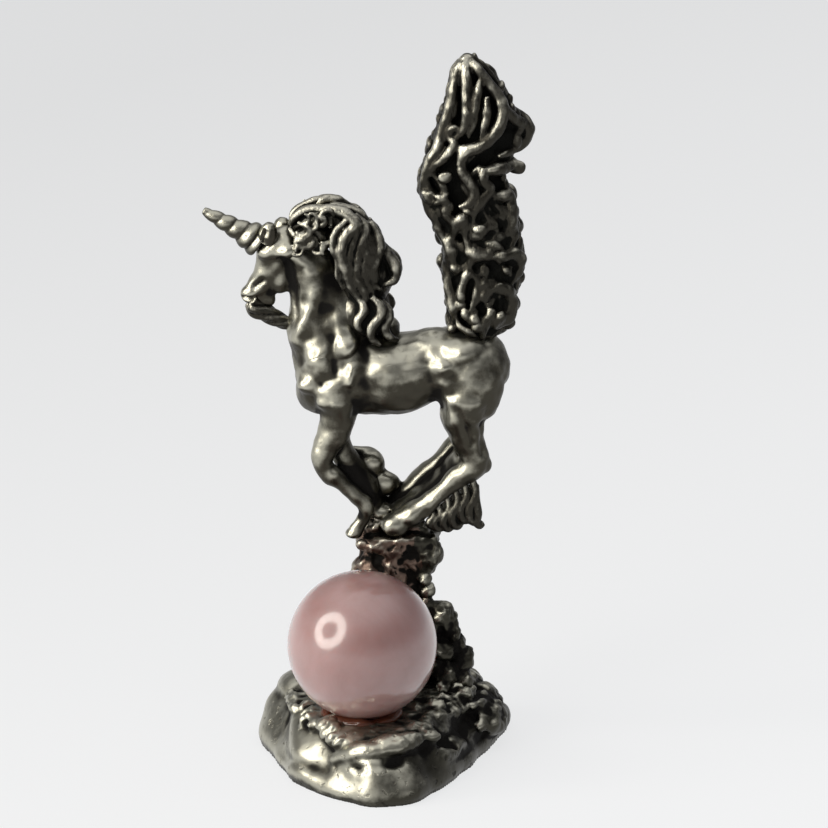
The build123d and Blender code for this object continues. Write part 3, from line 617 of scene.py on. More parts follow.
FACE_FOLDS = [
    (0.22, 0.45, [(-14.5, 47.9, 0.5), (-13.3, 47.8, 1.1), (-11.8, 48.2, 1.4)]),
    (0.35, 0.35, [(-13.3, 49.2, 0.9), (-12.5, 49.9, 1.2)]), (0.45, 0.5, [(-10.4, 52.4, 2.0)]),
    (0.5, 0.4, [(-10.2, 52.2, 2.0), (-9.6, 51.0, 1.9), (-9.7, 49.2, 1.6)]),
]
# Spots (x, z, out from the middle plane, width, gain) on both flanks: a positive gain paints a brighter
# place, partly wear and partly painted highlight, as on the brow, muzzle, chest, barrel and croup, with two
# painted glints on the off fore hoof; a negative gain paints shade under the jaw, in the neck's hollow,
# between the legs and by the hooves.
FLESH_SPOTS = [
    (-11.0, 53.4, 2.0, 1.5, 0.8), (-12.4, 50.8, 1.2, 1.2, 0.3), (-13.8, 48.4, 0.8, 0.7, 0.7),
    (-6.9, 42.1, 3.6, 1.4, 0.6), (-3.7, 43.2, 3.6, 1.2, 0.6), (-7.9, 39.2, 3.0, 1.1, 0.6),
    (-3.3, 40.6, 4.0, 0.9, 0.4), (-5.2, 37.8, 4.0, 1.0, 0.4), (1.0, 42.0, 3.4, 1.6, 0.4),
    (5.6, 43.0, 3.2, 1.8, 0.4), (-8.0, 46.6, 3.0, 1.0, 0.4), (-5.0, 49.6, 2.4, 2.0, -0.5),
    (-9.4, 50.6, 1.6, 0.8, -0.8), (-3.2, 28.8, 1.2, 1.7, -1.0), (-1.7, 26.6, 1.0, 1.4, -1.0),
    (4.2, 28.0, -1.2, 1.6, -0.35), (6.6, 30.2, -1.2, 1.6, -0.35), (5.0, 26.4, 3.0, 1.6, -0.25),
    (-2.2, 24.6, 2.6, 1.0, -0.6), (-1.5, 29.7, -0.2, 0.8, 0.7), (-0.2, 27.8, 0.0, 0.8, 0.7),
    (-10.8, 50.8, 2.0, 1.2, 0.4),
]
POLISHED_PEWTER = pewter("polished pewter", metal=(0.058, 0.053, 0.041), polish=(0.47, 0.455, 0.375),
                         tone=(0.01, 0.009, 0.008), toning=1.2, pits=0.12, pit_size=1.6)

legs = [offset(near_hind, NEAR_LEGS), offset(off_hind, OFF_LEGS), offset(near_fore, NEAR_LEGS),
        offset(off_fore, OFF_LEGS), offset(toe, OFF_LEGS)]
flesh_pieces = [rods([offset(barrel, ROOM_MIDDLE)]), rods([offset(neck, ROOM_MIDDLE)], 0.68),
                rods([offset(head, ROOM_MIDDLE)], 0.78), rods(legs),
                rods([offset(hind_web, ROOM_MIDDLE)], 2.2), rods([offset(fore_web, ROOM_MIDDLE)], 1.2)]
for centre, sizes in FLESH_LUMPS:
    flesh_pieces.append(lump(centre, sizes))
for centre, sizes, turn in SIDE_LUMPS:
    flesh_pieces.extend(both(centre, sizes, turn))
flesh = cast(flesh_pieces, "unicorn_flesh", FLESH_GRAIN, washes=12)


def wall(x, z, out):
    """A point of the flank, out from the middle plane on the side being worked."""
    return (x, ROOM_MIDDLE + side * out, z)


for side in (NEAR, OFF):
    for width, depth, places in MUSCLES + NECK_FOLDS + FACE_FOLDS:
        press(flesh, [wall(*place) for place in places], width, depth)
roughen(flesh, size=3.2, height=0.28, seed=11)
roughen(flesh, size=1.2, height=0.12, seed=7)
# Painted highlight and painted shade spots, on both flanks.
lit_and_shaded_spots = []
for side in (NEAR, OFF):
    for x, z, out, width, gain in FLESH_SPOTS:
        lit_and_shaded_spots.append((wall(x, z, out), width, gain))
mark_hollows(flesh, reach=90, depth=0.32, painted_highlight_level=0.62, spots=lit_and_shaded_spots)
to_metres(flesh, POLISHED_PEWTER)
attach(flesh, "root")
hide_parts("body", "head", "near_hind_leg", "off_hind_leg", "near_foreleg", "off_foreleg")


# The horn: a short stout cone of polished pewter with a spiral of rounded turns, like a shell.
# A peg at its root is soldered into a hole in the forehead.

HORN_ROOT, HORN_TIP = Vector((-12.7, 7.0, 53.8)), Vector((-18.5, 7.0, 57.1))
HORN_TAPER = [(0.0, 1.75), (0.2, 1.5), (0.36, 1.1), (0.6, 0.9), (0.8, 0.68), (0.93, 0.5), (1.0, 0.36)]
HORN_TURNS = 5.0
HORN_RINGS = 60
HORN_GRAIN = 0.09
horn_length = (HORN_TIP - HORN_ROOT).length
bpy.ops.mesh.primitive_cylinder_add(vertices=48, radius=1.0, depth=1.0)
horn = bpy.context.object
horn.name = horn.data.name = "horn_skin"
bpy.ops.object.mode_set(mode="EDIT")
for level in range(1, HORN_RINGS):
    bpy.ops.mesh.select_all(action="SELECT")
    bpy.ops.mesh.bisect(plane_co=(0, 0, level / HORN_RINGS - 0.5), plane_no=(0, 0, 1))
bpy.ops.object.mode_set(mode="OBJECT")
horn_points, _ = points_of(horn)
along = horn_points[:, 2] + 0.5
around = np.arctan2(horn_points[:, 1], horn_points[:, 0])
wave = np.abs(np.sin(np.pi * HORN_TURNS * along ** 0.9 + around / 2))
girth = np.interp(along, *zip(*HORN_TAPER)) * (0.82 + 0.24 * wave ** 0.6)
horn_way = (HORN_TIP - HORN_ROOT).normalized()
across = horn_way.cross(Vector((0, 1, 0))).normalized()
radial = np.outer(np.cos(around), across) + np.outer(np.sin(around), horn_way.cross(across))
share = np.hypot(horn_points[:, 0], horn_points[:, 1]) * girth
move_points(horn, np.array(HORN_ROOT) + np.outer(along * horn_length, horn_way) + radial * share[:, None])
horn = cast([horn], "horn_skin", HORN_GRAIN, washes=3)
mark_hollows(horn, reach=50, depth=0.2, painted_highlight_level=0.7)
to_metres(horn, POLISHED_PEWTER)
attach(horn, "root")
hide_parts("horn")


# The ears: two small pointed leaves of pewter with a hollow in front, soldered behind the horn.
# They lean forwards, so from the side they read as two bumps above the brow.

EARS = [(NEAR, "near_ear", (-12.0, 5.7, 54.0), (-11.6, 5.5, 56.2)),
        (OFF, "off_ear", (-10.6, 8.3, 54.0), (-10.3, 8.5, 55.9))]
EAR_TAPER = [(0, 0.9), (0.4, 1.05), (0.8, 0.8), (1, 0.4)]
EAR_GRAIN = 0.08
for side, node, root, tip in EARS:
    root, tip = Vector(root), Vector(tip)
    ear = rods([[(*root.lerp(tip, share), radius) for share, radius in EAR_TAPER]])
    ear = cast([ear], node + "_skin", EAR_GRAIN, washes=4)
    hollow_way = Vector((-0.6, side * 0.75, 0.1))
    press(ear, [root.lerp(tip, 0.1) + hollow_way, root.lerp(tip, 0.6) + hollow_way], 0.4, 0.35)
    mark_hollows(ear, reach=40, depth=0.2, painted_highlight_level=0.4)
    to_metres(ear, POLISHED_PEWTER)
    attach(ear, "root")
    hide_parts(node)


# The mane: wavy locks of pewter hair from the crown down the crest of the neck, cast as one piece and
# soldered on. The locks part to both sides of the crest, and curl at their ends above the shoulder.

HAIR_GRAIN = 0.13
HAIR_PEWTER = pewter("hair pewter", metal=(0.04, 0.037, 0.03), polish=(0.5, 0.48, 0.4),
                     tone=(0.003, 0.003, 0.002), toning=2.2, pits=0.2, pit_size=1.6, strands=1.4)
MANE_SEED = 21
MANE_LOCKS = [
    (0.62, [(-7.2, 5.9, 57.0), (-6.2, 5.6, 57.5), (-4.9, 5.4, 57.6), (-3.5, 5.1, 57.0), (-2.9, 4.9, 56.2),
            (-3.7, 4.6, 55.3), (-4.3, 4.5, 53.7), (-4.0, 4.4, 51.8), (-3.4, 4.4, 49.9), (-2.2, 4.4, 47.9)]),
    (0.62, [(-3.0, 6.0, 57.0), (-1.9, 5.4, 55.6), (-2.5, 4.9, 53.6), (-2.8, 4.6, 50.9), (-1.9, 4.5, 48.8),
            (-2.1, 4.5, 47.4)]),
    (0.6, [(-1.4, 6.2, 56.2), (-0.4, 5.6, 53.9), (-0.9, 5.2, 52.0), (-1.4, 5.0, 50.3), (-0.3, 5.0, 49.2)]),
    (0.66, [(-1.0, 6.6, 54.6), (0.2, 6.2, 52.9), (1.2, 6.0, 51.4), (1.2, 5.9, 50.2), (0.1, 5.6, 49.5)]),
    (0.56, [(-2.6, 4.4, 48.6), (-2.0, 4.1, 47.3), (-2.7, 3.9, 46.0), (-2.3, 3.9, 45.0)]),
    (0.6, [(-1.2, 4.6, 48.6), (-0.2, 4.4, 47.2), (-1.1, 4.2, 45.6), (-1.3, 4.2, 44.4), (-0.3, 4.4, 43.4)]),
    (0.55, [(-0.2, 5.2, 48.0), (0.6, 4.9, 46.6), (0.1, 4.8, 45.2), (0.6, 4.9, 44.2), (1.5, 5.5, 43.6)]),
    (0.4, [(-3.7, 4.8, 56.8), (-4.9, 4.6, 55.6), (-5.2, 4.6, 54.0), (-4.7, 4.6, 52.4), (-4.7, 4.6, 50.8),
           (-4.1, 4.5, 49.4)]),
    (0.4, [(-2.3, 4.9, 56.4), (-3.1, 4.6, 54.4), (-3.5, 4.4, 52.4), (-2.9, 4.4, 50.4), (-2.7, 4.5, 48.8)]),
    (0.4, [(-1.6, 5.2, 55.0), (-1.7, 4.8, 53.2), (-2.1, 4.6, 51.4), (-1.4, 4.7, 49.6), (-0.9, 4.8, 48.2)]),
]


def locks(shapes, waver, seed):
    """Locks of hair on the near side and, a little shifted, on the off side: each tapers at both ends."""
    dice = random.Random(seed)
    courses = []
    for side in (NEAR, OFF):
        for thick, points in shapes:
            last = len(points) - 1
            course = []
            for step, (x, y, z) in enumerate(points):
                y = ROOM_MIDDLE - side * (y - ROOM_MIDDLE)
                shift = waver * (side == OFF)
                taper = thick * min(1, 0.6 + 0.4 * step, 0.45 + 0.35 * (last - step))
                course.append((x + dice.uniform(-shift, shift), y, z + dice.uniform(-shift, shift), taper))
            courses.append(course)
    return courses


mane_core = [(-5.4, 7.0, 57.2, 1.01), (-4.1, 7.0, 56.2, 1.5), (-3.0, 7.0, 53.8, 1.9), (-1.6, 7.0, 51.8, 2.0),
             (-1.0, 7.0, 50.0, 1.9), (-1.5, 7.0, 47.8, 1.7), (-1.4, 7.0, 46.0, 1.6), (-0.6, 7.0, 44.4, 1.4)]
mane_crest = [(-5.6, 7.0, 57.4, 0.6), (-4.2, 7.0, 57.3, 0.6), (-2.7, 7.0, 56.8, 0.6), (-1.6, 7.0, 55.4, 0.6),
              (-1.0, 7.0, 53.8, 0.6), (0.2, 7.0, 52.0, 0.6), (1.1, 7.0, 50.6, 0.6), (-0.2, 7.0, 48.6, 0.6),
              (-0.7, 7.0, 47.2, 0.6), (0.2, 7.0, 45.6, 0.6), (0.8, 7.0, 44.6, 0.5)]
mane_fill = both((-1.9, 5.6, 46.4), (5.2, 3.0, 5.0), (0, 18, 0)) + both((-2.4, 5.6, 51.6), (4.4, 2.6, 9.0))
mane_fill.append(lump((0.5, 7.0, 44.4), (2.4, 3.4, 2.8)))
mane_core_rod, mane_crest_rod = rods([mane_core]), rods([mane_crest])
mane_locks = rods(locks(MANE_LOCKS, 0.25, MANE_SEED))
mane = cast([*mane_fill, mane_core_rod, mane_crest_rod, mane_locks], "mane_skin", HAIR_GRAIN, washes=2)
roughen(mane, size=0.8, height=0.08, seed=8)
mark_hollows(mane, reach=120, depth=0.28, painted_highlight_level=0.2)
to_metres(mane, HAIR_PEWTER)
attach(mane, "root")
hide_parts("mane")


# The forelock: a cluster of tight curls between the horn and the mane, cast with the same toned hair.
# One lock arches over the others, and they wind about dark holes.

FORELOCK_GRAIN = 0.11
CURL_SEED, FORELOCK_SEED = 31, 22
CURLS, CURL_STEPS, CURL_BEND = 16, 5, 0.95
FORELOCK_LOCKS = [
    (0.46, [(-9.6, 6.2, 55.8), (-9.0, 5.9, 56.8), (-7.9, 5.8, 57.5), (-6.6, 5.6, 57.6), (-5.6, 5.2, 57.0),
            (-5.3, 4.9, 56.0)]),
    (0.4, [(-9.7, 5.8, 55.6), (-8.9, 5.3, 54.9), (-7.9, 5.0, 55.2), (-6.9, 4.9, 54.5), (-6.8, 4.9, 53.4)]),
]
dice = random.Random(CURL_SEED)
for _ in range(CURLS):
    x, z = dice.uniform(-8.9, -5.6), dice.uniform(53.2, 57.2)
    start, bend, thick = dice.uniform(0, 6.3), dice.uniform(0.45, 0.75), dice.uniform(0.26, 0.38)
    curl = []
    for step in range(CURL_STEPS):
        turn = start + CURL_BEND * step
        curl.append((x + bend * math.cos(turn), 4.95 - 0.12 * step, z + bend * math.sin(turn)))
    FORELOCK_LOCKS.append((thick, curl))
tuft = [(-9.2, 7.0, 55.4, 1.0), (-7.9, 7.0, 56.2, 1.4), (-6.6, 7.0, 56.4, 1.4), (-5.4, 7.0, 56.6, 1.1)]
tuft_low = [(-8.6, 7.0, 54.2, 1.6), (-7.2, 7.0, 54.4, 1.7), (-6.2, 7.0, 53.0, 1.5)]
tuft_rods = rods([tuft, tuft_low])
forelock_locks = rods(locks(FORELOCK_LOCKS, 0.2, FORELOCK_SEED))
forelock = cast([tuft_rods, forelock_locks], "forelock_skin", FORELOCK_GRAIN, washes=2)
mark_hollows(forelock, reach=90, depth=0.25, painted_highlight_level=0.4)
to_metres(forelock, HAIR_PEWTER)
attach(forelock, "root")
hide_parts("forelock")


# The beard: a tuft of twisted locks under the chin that swings back to touch the throat, in the same
# toned hair. It is soldered to the chin and to the neck.

BEARD_LINE = [(-13.6, 47.6), (-13.2, 46.8), (-12.2, 46.2), (-11.2, 45.6), (-10.4, 45.2), (-9.6, 44.9)]
BEARD_STRANDS, BEARD_TWIST = 5, 0.8
BEARD_GRAIN = 0.1
beard_courses = []
for index in range(BEARD_STRANDS):
    course = []
    for step, (x, z) in enumerate(BEARD_LINE):
        turn = index * 2 * math.pi / BEARD_STRANDS + step * BEARD_TWIST
        spread = 0.72 - 0.08 * step
        along, aside = spread * math.cos(turn), spread * math.sin(turn)
        course.append((x + 0.4 * along, ROOM_MIDDLE + aside, z + along, 0.52 - 0.03 * step))
    beard_courses.append(course)
beard = cast([rods(beard_courses)], "beard_skin", BEARD_GRAIN, washes=2)
mark_hollows(beard, reach=50, depth=0.2, painted_highlight_level=0.1)
to_metres(beard, HAIR_PEWTER)
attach(beard, "root")
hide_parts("beard")


# The feathers: long hair behind the hind fetlocks, cast as a comb of locks that hang from the cannon bone
# and curl at their ends. Each comb is soldered to its own leg.

FEATHERS = [(NEAR, "near_feather", 0.0, 0.0), (OFF, "off_feather", -0.8, 2.2)]
FEATHER_LOCKS = [(4.9, 25.5, 23.6, 0.4), (5.5, 26.0, 23.3, 0.42), (6.4, 27.0, 23.3, 0.44),
                 (7.3, 27.9, 23.6, 0.5), (8.2, 28.6, 24.2, 0.46), (9.1, 29.0, 24.0, 0.46),
                 (9.6, 28.2, 24.0, 0.42)]
FEATHER_OUT = 2.1
FEATHER_GRAIN = 0.11
for side, node, shift, rise in FEATHERS:
    depth = ROOM_MIDDLE + side * FEATHER_OUT
    courses = []
    for x, top, bottom, thick in FEATHER_LOCKS:
        x, top = x + shift, top + rise
        reach = top - bottom
        sway = 0.25 * math.sin(7 * x)
        courses.append([
            (x, depth, top, 0.7 * thick), (x + 0.2 + sway, depth + side * 0.25, top - 0.35 * reach, thick),
            (x - 0.1 - sway, depth + side * 0.4, top - 0.7 * reach, 1.15 * thick),
            (x + 0.25, depth + side * (0.3 + 0.4 * sway), bottom + sway, 0.95 * thick),
            (x + 0.75, depth + side * 0.2, bottom + 0.3 + sway, 0.7 * thick)])
    feather = cast([rods(courses)], node + "_skin", FEATHER_GRAIN, washes=2)
    mark_hollows(feather, reach=50, depth=0.22, painted_highlight_level=0.15)
    to_metres(feather, HAIR_PEWTER)
    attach(feather, "root")
    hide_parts(node)


# The tail: a tall upright flame of wavy locks, cast as one heavy piece and pegged into the rump.
# Long locks fan down from the tip, one loops out behind, and below the waist they tangle and curl.

TAIL_SHAPE = [(42.6, 9.2, 1.9), (44.4, 9.6, 2.8), (46.2, 10.0, 3.5), (48.2, 10.0, 3.5), (50.4, 10.2, 4.2),
              (52.6, 10.4, 4.0), (54.8, 9.8, 4.2), (57.0, 9.2, 4.6), (59.2, 8.3, 4.7), (61.4, 8.1, 4.3),
              (63.6, 8.8, 4.4), (65.8, 9.9, 4.6), (68.0, 9.7, 3.6), (70.2, 9.5, 2.7), (72.2, 9.0, 1.7),
              (73.4, 8.6, 0.8)]
TAIL_HEIGHTS, TAIL_MIDDLES, TAIL_HALVES = (list(column) for column in zip(*TAIL_SHAPE))
TAIL_DEPTH = 2.5
TAIL_LOCKS = [
    (0.42, [(8.3, 73.2), (8.4, 71.8), (8.4, 70.2), (8.5, 68.1), (8.1, 66.5), (7.1, 65.3)]),
    (0.4, [(9.0, 73.2), (9.7, 72.4), (10.6, 71.3), (11.8, 69.8), (12.7, 68.2), (13.9, 66.9), (14.9, 66.1),
           (15.1, 65.3), (14.5, 64.3), (13.4, 63.7), (11.9, 63.4)]),
    (0.46, [(11.5, 70.2), (12.2, 69.0), (12.3, 67.7), (11.8, 66.5), (10.9, 65.4), (9.8, 64.6), (8.4, 64.1),
            (7.9, 63.1), (8.1, 61.9)]),
    (0.34, [(10.6, 69.8), (10.6, 68.2), (10.3, 66.6), (9.9, 65.5)]),
    (0.34, [(10.1, 71.7), (9.6, 70.2), (9.3, 68.7), (9.2, 67.3), (8.6, 65.5)]),
    (0.42, [(7.8, 73.0), (7.3, 71.7), (6.9, 69.5), (6.4, 67.6), (5.9, 66.2), (5.4, 64.3), (4.7, 63.1),
            (4.3, 62.0), (3.9, 60.4), (3.7, 58.8)]),
    (0.34, [(7.6, 66.4), (6.9, 66.4), (6.5, 65.7), (7.1, 64.9), (6.6, 64.0), (5.8, 63.0), (4.9, 62.2),
            (4.6, 61.2)]),
    (0.42, [(8.0, 63.0), (8.1, 61.9), (8.9, 60.8), (9.3, 59.7), (8.8, 58.7), (7.6, 58.2)]),
    (0.4, [(10.4, 62.4), (10.3, 61.1), (11.0, 60.0), (10.6, 59.3), (9.9, 58.6), (9.4, 57.6), (9.1, 56.2)]),
    (0.5, [(10.6, 61.9), (11.6, 62.0), (12.6, 62.0), (13.4, 61.9), (13.8, 61.5)]),
    (0.44, [(3.9, 59.6), (4.2, 58.3), (4.9, 56.9), (5.6, 55.7), (5.9, 54.7), (6.6, 53.6), (6.7, 52.7),
            (6.3, 51.5), (6.5, 50.3), (6.7, 49.1), (7.0, 47.9), (7.1, 46.7), (6.9, 45.4)]),
    (0.46, [(11.4, 59.2), (12.3, 59.1), (13.1, 58.9), (13.4, 57.6), (13.4, 56.0), (13.5, 54.7),
            (13.1, 53.7)]),
    (0.36, [(6.1, 58.4), (6.4, 57.2), (7.1, 56.2), (7.0, 55.3), (6.6, 54.2), (7.0, 53.2), (7.2, 52.4),
            (6.7, 51.2), (6.3, 50.8)]),
    (0.34, [(8.8, 56.6), (8.3, 55.4), (8.6, 54.2), (9.2, 53.1), (8.7, 52.0), (8.5, 50.8), (8.0, 49.6),
            (7.9, 48.4), (8.0, 47.6)]),
    (0.34, [(9.9, 54.0), (9.4, 52.8), (8.0, 51.8), (6.9, 50.5)]),
    (0.32, [(9.0, 51.5), (9.4, 50.9), (9.6, 50.2), (9.5, 49.1), (9.4, 48.2), (9.0, 46.8), (8.7, 45.6)]),
    (0.5, [(11.2, 52.9), (12.4, 52.9), (13.4, 53.0), (14.0, 52.6), (14.2, 51.7), (14.0, 50.8), (13.3, 49.8)]),
    (0.48, [(10.2, 48.2), (10.7, 49.1), (11.7, 49.6), (12.6, 49.4), (13.1, 48.5), (13.1, 47.3), (12.9, 46.2),
            (12.1, 45.4), (11.5, 45.0)]),
    (0.46, [(11.2, 47.3), (10.8, 46.4), (10.4, 45.2), (10.2, 44.0)]),
    (0.4, [(12.2, 47.0), (12.2, 46.0), (11.6, 45.2)]),
    (0.36, [(7.2, 46.4), (7.8, 45.4), (8.6, 44.8), (9.4, 44.2)]),
]
TAIL_BEADS = [(8.3, 64.2, 1.7), (6.3, 61.3, 1.6), (4.9, 59.3, 1.2), (11.0, 56.3, 1.8), (9.4, 55.2, 1.5),
              (6.2, 54.9, 1.3), (8.0, 47.6, 1.3), (7.2, 45.0, 1.1), (13.7, 61.7, 1.9), (5.6, 64.2, 1.3),
              (5.0, 62.0, 1.3)]
# Where the locks' tops get painted glints: painted highlights.
TAIL_GLINTS = [(8.3, 64.2), (6.3, 61.3), (6.3, 54.9), (9.6, 55.4), (7.6, 47.8), (8.3, 73.0), (5.4, 64.2),
               (10.6, 62.0), (13.4, 61.9)]
TAIL_SEED, UNDER_SEED, UNDER_SHAPE_SEED, TANGLE_SEED = 23, 24, 25, 27
UNDER_LOCKS, UNDER_STEPS = 22, 5
TANGLE_LUMPS, EDGE_LUMPS = 34, 64
LOCK_SWELL, LOCK_DRAWN_IN, CORE_SHARE = 1.5, 0.06, 0.93


def across_tail(z, share):
    """A place across the tail at a height: share runs from -1 at its front edge to 1 at its back edge."""
    return np.interp(z, TAIL_HEIGHTS, TAIL_MIDDLES) + share * np.interp(z, TAIL_HEIGHTS, TAIL_HALVES)


def tail_depth(x, z):
    """How far the tail's skin stands out from the middle plane at a place seen from the side."""
    middle = np.interp(z, TAIL_HEIGHTS, TAIL_MIDDLES)
    half = np.interp(z, TAIL_HEIGHTS, TAIL_HALVES)
    share = np.minimum(np.abs(x - middle) / half, 1)
    return np.minimum(TAIL_DEPTH, 0.75 * half) * np.sqrt(1 - share ** 2)


def under_locks(count):
    """Short wavy locks that fill the tail between its main locks, a little deeper."""
    dice = random.Random(UNDER_SHAPE_SEED)
    shapes = []
    for _ in range(count):
        top, share = dice.uniform(50.0, 72.0), dice.uniform(-0.85, 0.85)
        turn, length = dice.uniform(0, 6.3), dice.uniform(5.0, 8.0)
        points = []
        for step in range(UNDER_STEPS + 1):
            z = max(top - length * step / UNDER_STEPS, 44.0 + 0.2 * step)
            x = across_tail(z, share + 0.16 * math.sin(turn + 1.5 * step))
            points.append((x, ROOM_MIDDLE - 0.82 * tail_depth(x, z), z))
        shapes.append((dice.uniform(0.32, 0.5), points))
    return shapes


tail_shapes = []
for thick, points in TAIL_LOCKS:
    points = [(x - LOCK_DRAWN_IN * (x - across_tail(z, 0)), z) for x, z in points]
    tail_shapes.append((LOCK_SWELL * thick, [(x, ROOM_MIDDLE - tail_depth(x, z), z) for x, z in points]))
tail_core = [(x, ROOM_MIDDLE, z, max(half * CORE_SHARE, 0.3)) for z, x, half in TAIL_SHAPE]
tail_pieces = [rods([tail_core], 0.34), rods([tail_core[:7]], 0.64), rods(locks(tail_shapes, 0.3, TAIL_SEED)),
               rods(locks(under_locks(UNDER_LOCKS), 0.3, UNDER_SEED))]
for x, z, size in TAIL_BEADS:
    tail_pieces.extend(both((x, ROOM_MIDDLE - tail_depth(x, z), z), (size, 0.8, 0.8 * size)))
dice = random.Random(TANGLE_SEED)
for _ in range(TANGLE_LUMPS):
    z, share = dice.uniform(45.0, 59.0), dice.uniform(-0.8, 0.8)
    x = across_tail(z, share)
    sizes = [dice.uniform(0.8, 2.2), 1.0, dice.uniform(0.8, 1.6)]
    tail_pieces.extend(both((x, ROOM_MIDDLE - tail_depth(x, z), z), sizes, (0, dice.uniform(0, 180), 0)))
for step in range(EDGE_LUMPS):
    z, edge = 45.0 + 0.4 * step + dice.uniform(-0.3, 0.3), 0.9 if step % 2 else -0.9
    sizes = [dice.uniform(0.8, 1.4), dice.uniform(0.8, 1.8), dice.uniform(1.0, 2.4)]
    turn = (dice.uniform(-50, 50), 0, dice.uniform(-40, 40))
    tail_pieces.append(lump((across_tail(z, edge), ROOM_MIDDLE + dice.uniform(-0.8, 0.8), z), sizes, turn))
for centre, sizes in (((12.6, 7.0, 65.6), (3.4, 0.7, 3.0)), ((8.55, 7.0, 72.9), (1.8, 1.9, 1.9)),
                      ((12.4, 7.0, 51.6), (3.4, 2.6, 2.6))):
    tail_pieces.append(lump(centre, sizes))
tail_pieces.extend(both((10.8, 5.2, 54.8), (3.4, 1.2, 1.5)))


def low_down(points):
    """How low each point of the tail lies, from 0 above its waist to 1 in the tangle below it."""
    return np.clip((60.0 - points[:, 2]) / 4, 0, 1)


tail = cast(tail_pieces, "tail_skin", HAIR_GRAIN, washes=2)
roughen(tail, size=0.9, height=0.1, seed=9)
roughen(tail, size=1.7, height=0.45, seed=13, share_of=low_down)
# Painted highlights at the glints, on both sides of the tail.
glints = []
for x, z in TAIL_GLINTS:
    for side in (NEAR, OFF):
        glints.append((wall(x, z, tail_depth(x, z) + 0.5), 0.9, 0.7))


def between_locks(points):
    """How far each point of the tail lies below the tops of the locks, which matters less low down."""
    x, y, z = points.T
    below = np.clip((tail_depth(x, z) - np.abs(y - ROOM_MIDDLE) - 0.1) / 0.6, 0, 1)
    return below * np.clip((z - 46.0) / 14, 0.3, 1)


mark_hollows(tail, reach=120, depth=0.35, painted_highlight_level=-0.1, spots=glints, under=between_locks)
to_metres(tail, HAIR_PEWTER)
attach(tail, "root")
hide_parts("tail")


# The studio: a pale floor that runs out of the picture, a ring-shaped softbox at the left and a soft glow
# overhead. The camera stands in front of the ball, 18 degrees above the horizon.

FLOOR_SIZE = 6.0
RING_WAY = Vector((-0.76, -0.41, 0.5)).normalized()
RING_DISTANCE = 0.36
RING_OUTER, RING_INNER = 0.175, 0.08
RING_GLOW = 6.0
SKY = [(0.0, 0.7), (0.16, 0.36), (0.38, 0.12), (0.6, 0.22), (0.85, 0.85)]
AIM = Vector((3.125, 7.0, 35.16)) * MM
CAMERA_DISTANCE = 0.9
CAMERA_HEIGHT = math.radians(18)
CAMERA_LENS, CAMERA_SENSOR = 378.8, 36


def backdrop_paint():
    """Pale paint that glows a little wherever it is seen, straight or mirrored, so the floor stays even, save
    for a
    painted falloff: the glow fades from the front right towards the back left.
    """
    material, tree, shader = new_finish("floor paint")
    set_values(shader, Base_Color=(0.8, 0.81, 0.83, 1), Roughness=0.9)
    emission = node_of(tree, "ShaderNodeEmission", Color=(0.99, 0.995, 1.0, 1))
    place = tree.nodes.new("ShaderNodeTexCoord")
    # Painted falloff: the glow fades from the front right towards the back left.
    across = node_of(tree, "ShaderNodeVectorMath", operation="DOT_PRODUCT")
    across.inputs[1].default_value = (-1.2, 1, 0)
    painted_falloff = node_of(tree, "ShaderNodeMapRange", From_Min=-0.08, From_Max=0.3, To_Min=0.95, To_Max=0.78)
    tree.links.new(place.outputs["Object"], across.inputs[0])
    tree.links.new(across.outputs["Value"], painted_falloff.inputs["Value"])
    tree.links.new(painted_falloff.outputs["Result"], emission.inputs["Strength"])
    path = tree.nodes.new("ShaderNodeLightPath")
    seen = node_of(tree, "ShaderNodeMath", operation="MAXIMUM")
    tree.links.new(path.outputs["Is Camera Ray"], seen.inputs[0])
    mirrored = node_of(tree, "ShaderNodeMath", operation="MAXIMUM")
    tree.links.new(path.outputs["Is Glossy Ray"], mirrored.inputs[0])
    tree.links.new(path.outputs["Is Transmission Ray"], mirrored.inputs[1])
    tree.links.new(mirrored.outputs[0], seen.inputs[1])
    share = node_of(tree, "ShaderNodeMath", operation="MULTIPLY")
    share.inputs[1].default_value = 0.8
    tree.links.new(seen.outputs[0], share.inputs[0])
    mix = tree.nodes.new("ShaderNodeMixShader")
    tree.links.new(share.outputs[0], mix.inputs["Fac"])
    tree.links.new(shader.outputs[0], mix.inputs[1])
    tree.links.new(emission.outputs[0], mix.inputs[2])
    tree.links.new(mix.outputs[0], tree.nodes["Material Output"].inputs["Surface"])
    return material


def aim(piece, target):
    """Turns a lamp or the camera to face the target."""
    piece.rotation_euler = (target - piece.location).to_track_quat("-Z", "Y").to_euler()


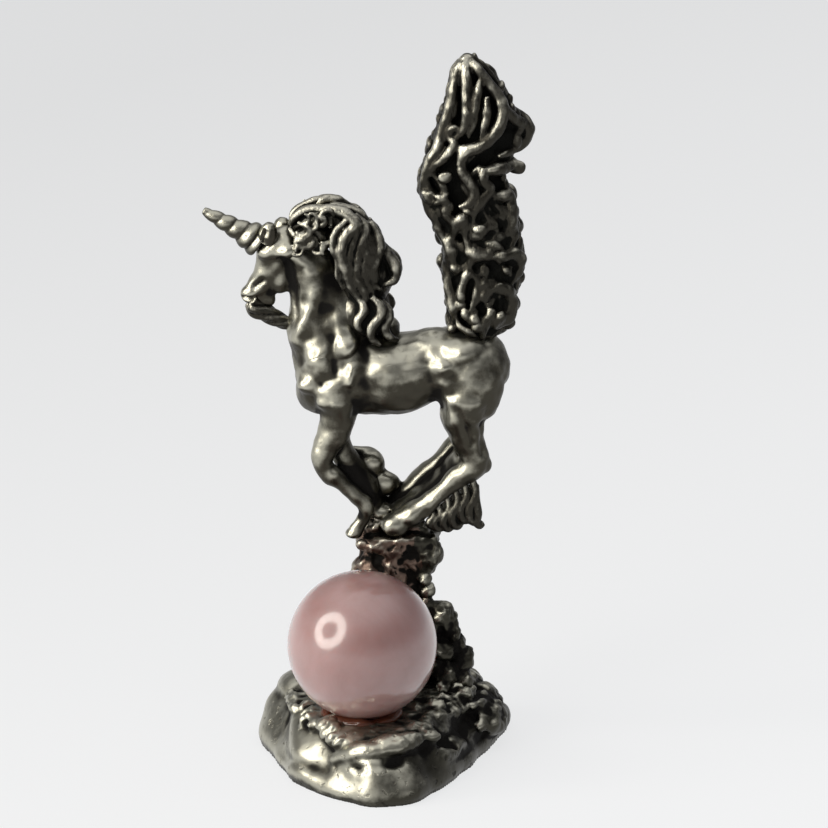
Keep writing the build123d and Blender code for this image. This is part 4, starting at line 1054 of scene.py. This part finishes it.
bpy.ops.mesh.primitive_plane_add(size=FLOOR_SIZE)
floor = bpy.context.object
floor.name = "floor"
floor.data.materials.append(backdrop_paint())
floor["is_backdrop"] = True

bpy.ops.mesh.primitive_circle_add(vertices=64, radius=RING_OUTER, fill_type="NGON")
ring = bpy.context.object
ring.name = "ring_softbox"
bpy.ops.object.mode_set(mode="EDIT")
bpy.ops.mesh.select_all(action="SELECT")
bpy.ops.mesh.inset(thickness=RING_OUTER - RING_INNER)
bpy.ops.mesh.delete(type="FACE")
bpy.ops.object.mode_set(mode="OBJECT")
ring.location = BALL_MIDDLE * MM + RING_WAY * RING_DISTANCE
aim(ring, BALL_MIDDLE * MM)
ring.visible_camera = False
glow, glow_tree, glow_shader = new_finish("ring glow")
glow_tree.nodes.remove(glow_shader)
emission = node_of(glow_tree, "ShaderNodeEmission", Color=(1.0, 0.97, 0.9, 1), Strength=RING_GLOW)
glow_tree.links.new(emission.outputs[0], glow_tree.nodes["Material Output"].inputs["Surface"])
ring.data.materials.append(glow)
ring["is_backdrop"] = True

world = bpy.context.scene.world or bpy.data.worlds.new("studio")
bpy.context.scene.world = world
world.use_nodes = True
sky = world.node_tree
sky_place = sky.nodes.new("ShaderNodeTexCoord")
sky_height = sky.nodes.new("ShaderNodeSeparateXYZ")
sky_ramp = sky.nodes.new("ShaderNodeValToRGB")
for position, brightness in SKY:
    stop = sky_ramp.color_ramp.elements.new(position)
    stop.color = (brightness, brightness, 1.02 * brightness, 1)
sky_ramp.color_ramp.elements.remove(sky_ramp.color_ramp.elements[0])
sky.links.new(sky_place.outputs["Generated"], sky_height.inputs[0])
sky.links.new(sky_height.outputs["Z"], sky_ramp.inputs["Fac"])
sky.links.new(sky_ramp.outputs["Color"], sky.nodes["Background"].inputs["Color"])

camera_way = Vector((0, -math.cos(CAMERA_HEIGHT), math.sin(CAMERA_HEIGHT)))
bpy.ops.object.camera_add(location=AIM + CAMERA_DISTANCE * camera_way)
camera = bpy.context.object
aim(camera, AIM)
camera.data.lens = CAMERA_LENS
camera.data.sensor_width = CAMERA_SENSOR
camera.data.clip_start = 0.01
bpy.context.scene.camera = camera
bpy.context.scene.view_settings.view_transform = "Standard"

low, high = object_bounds()
sizes = {"cad": [list(cad_low), list(cad_high)], "visual": [list(low), list(high)]}
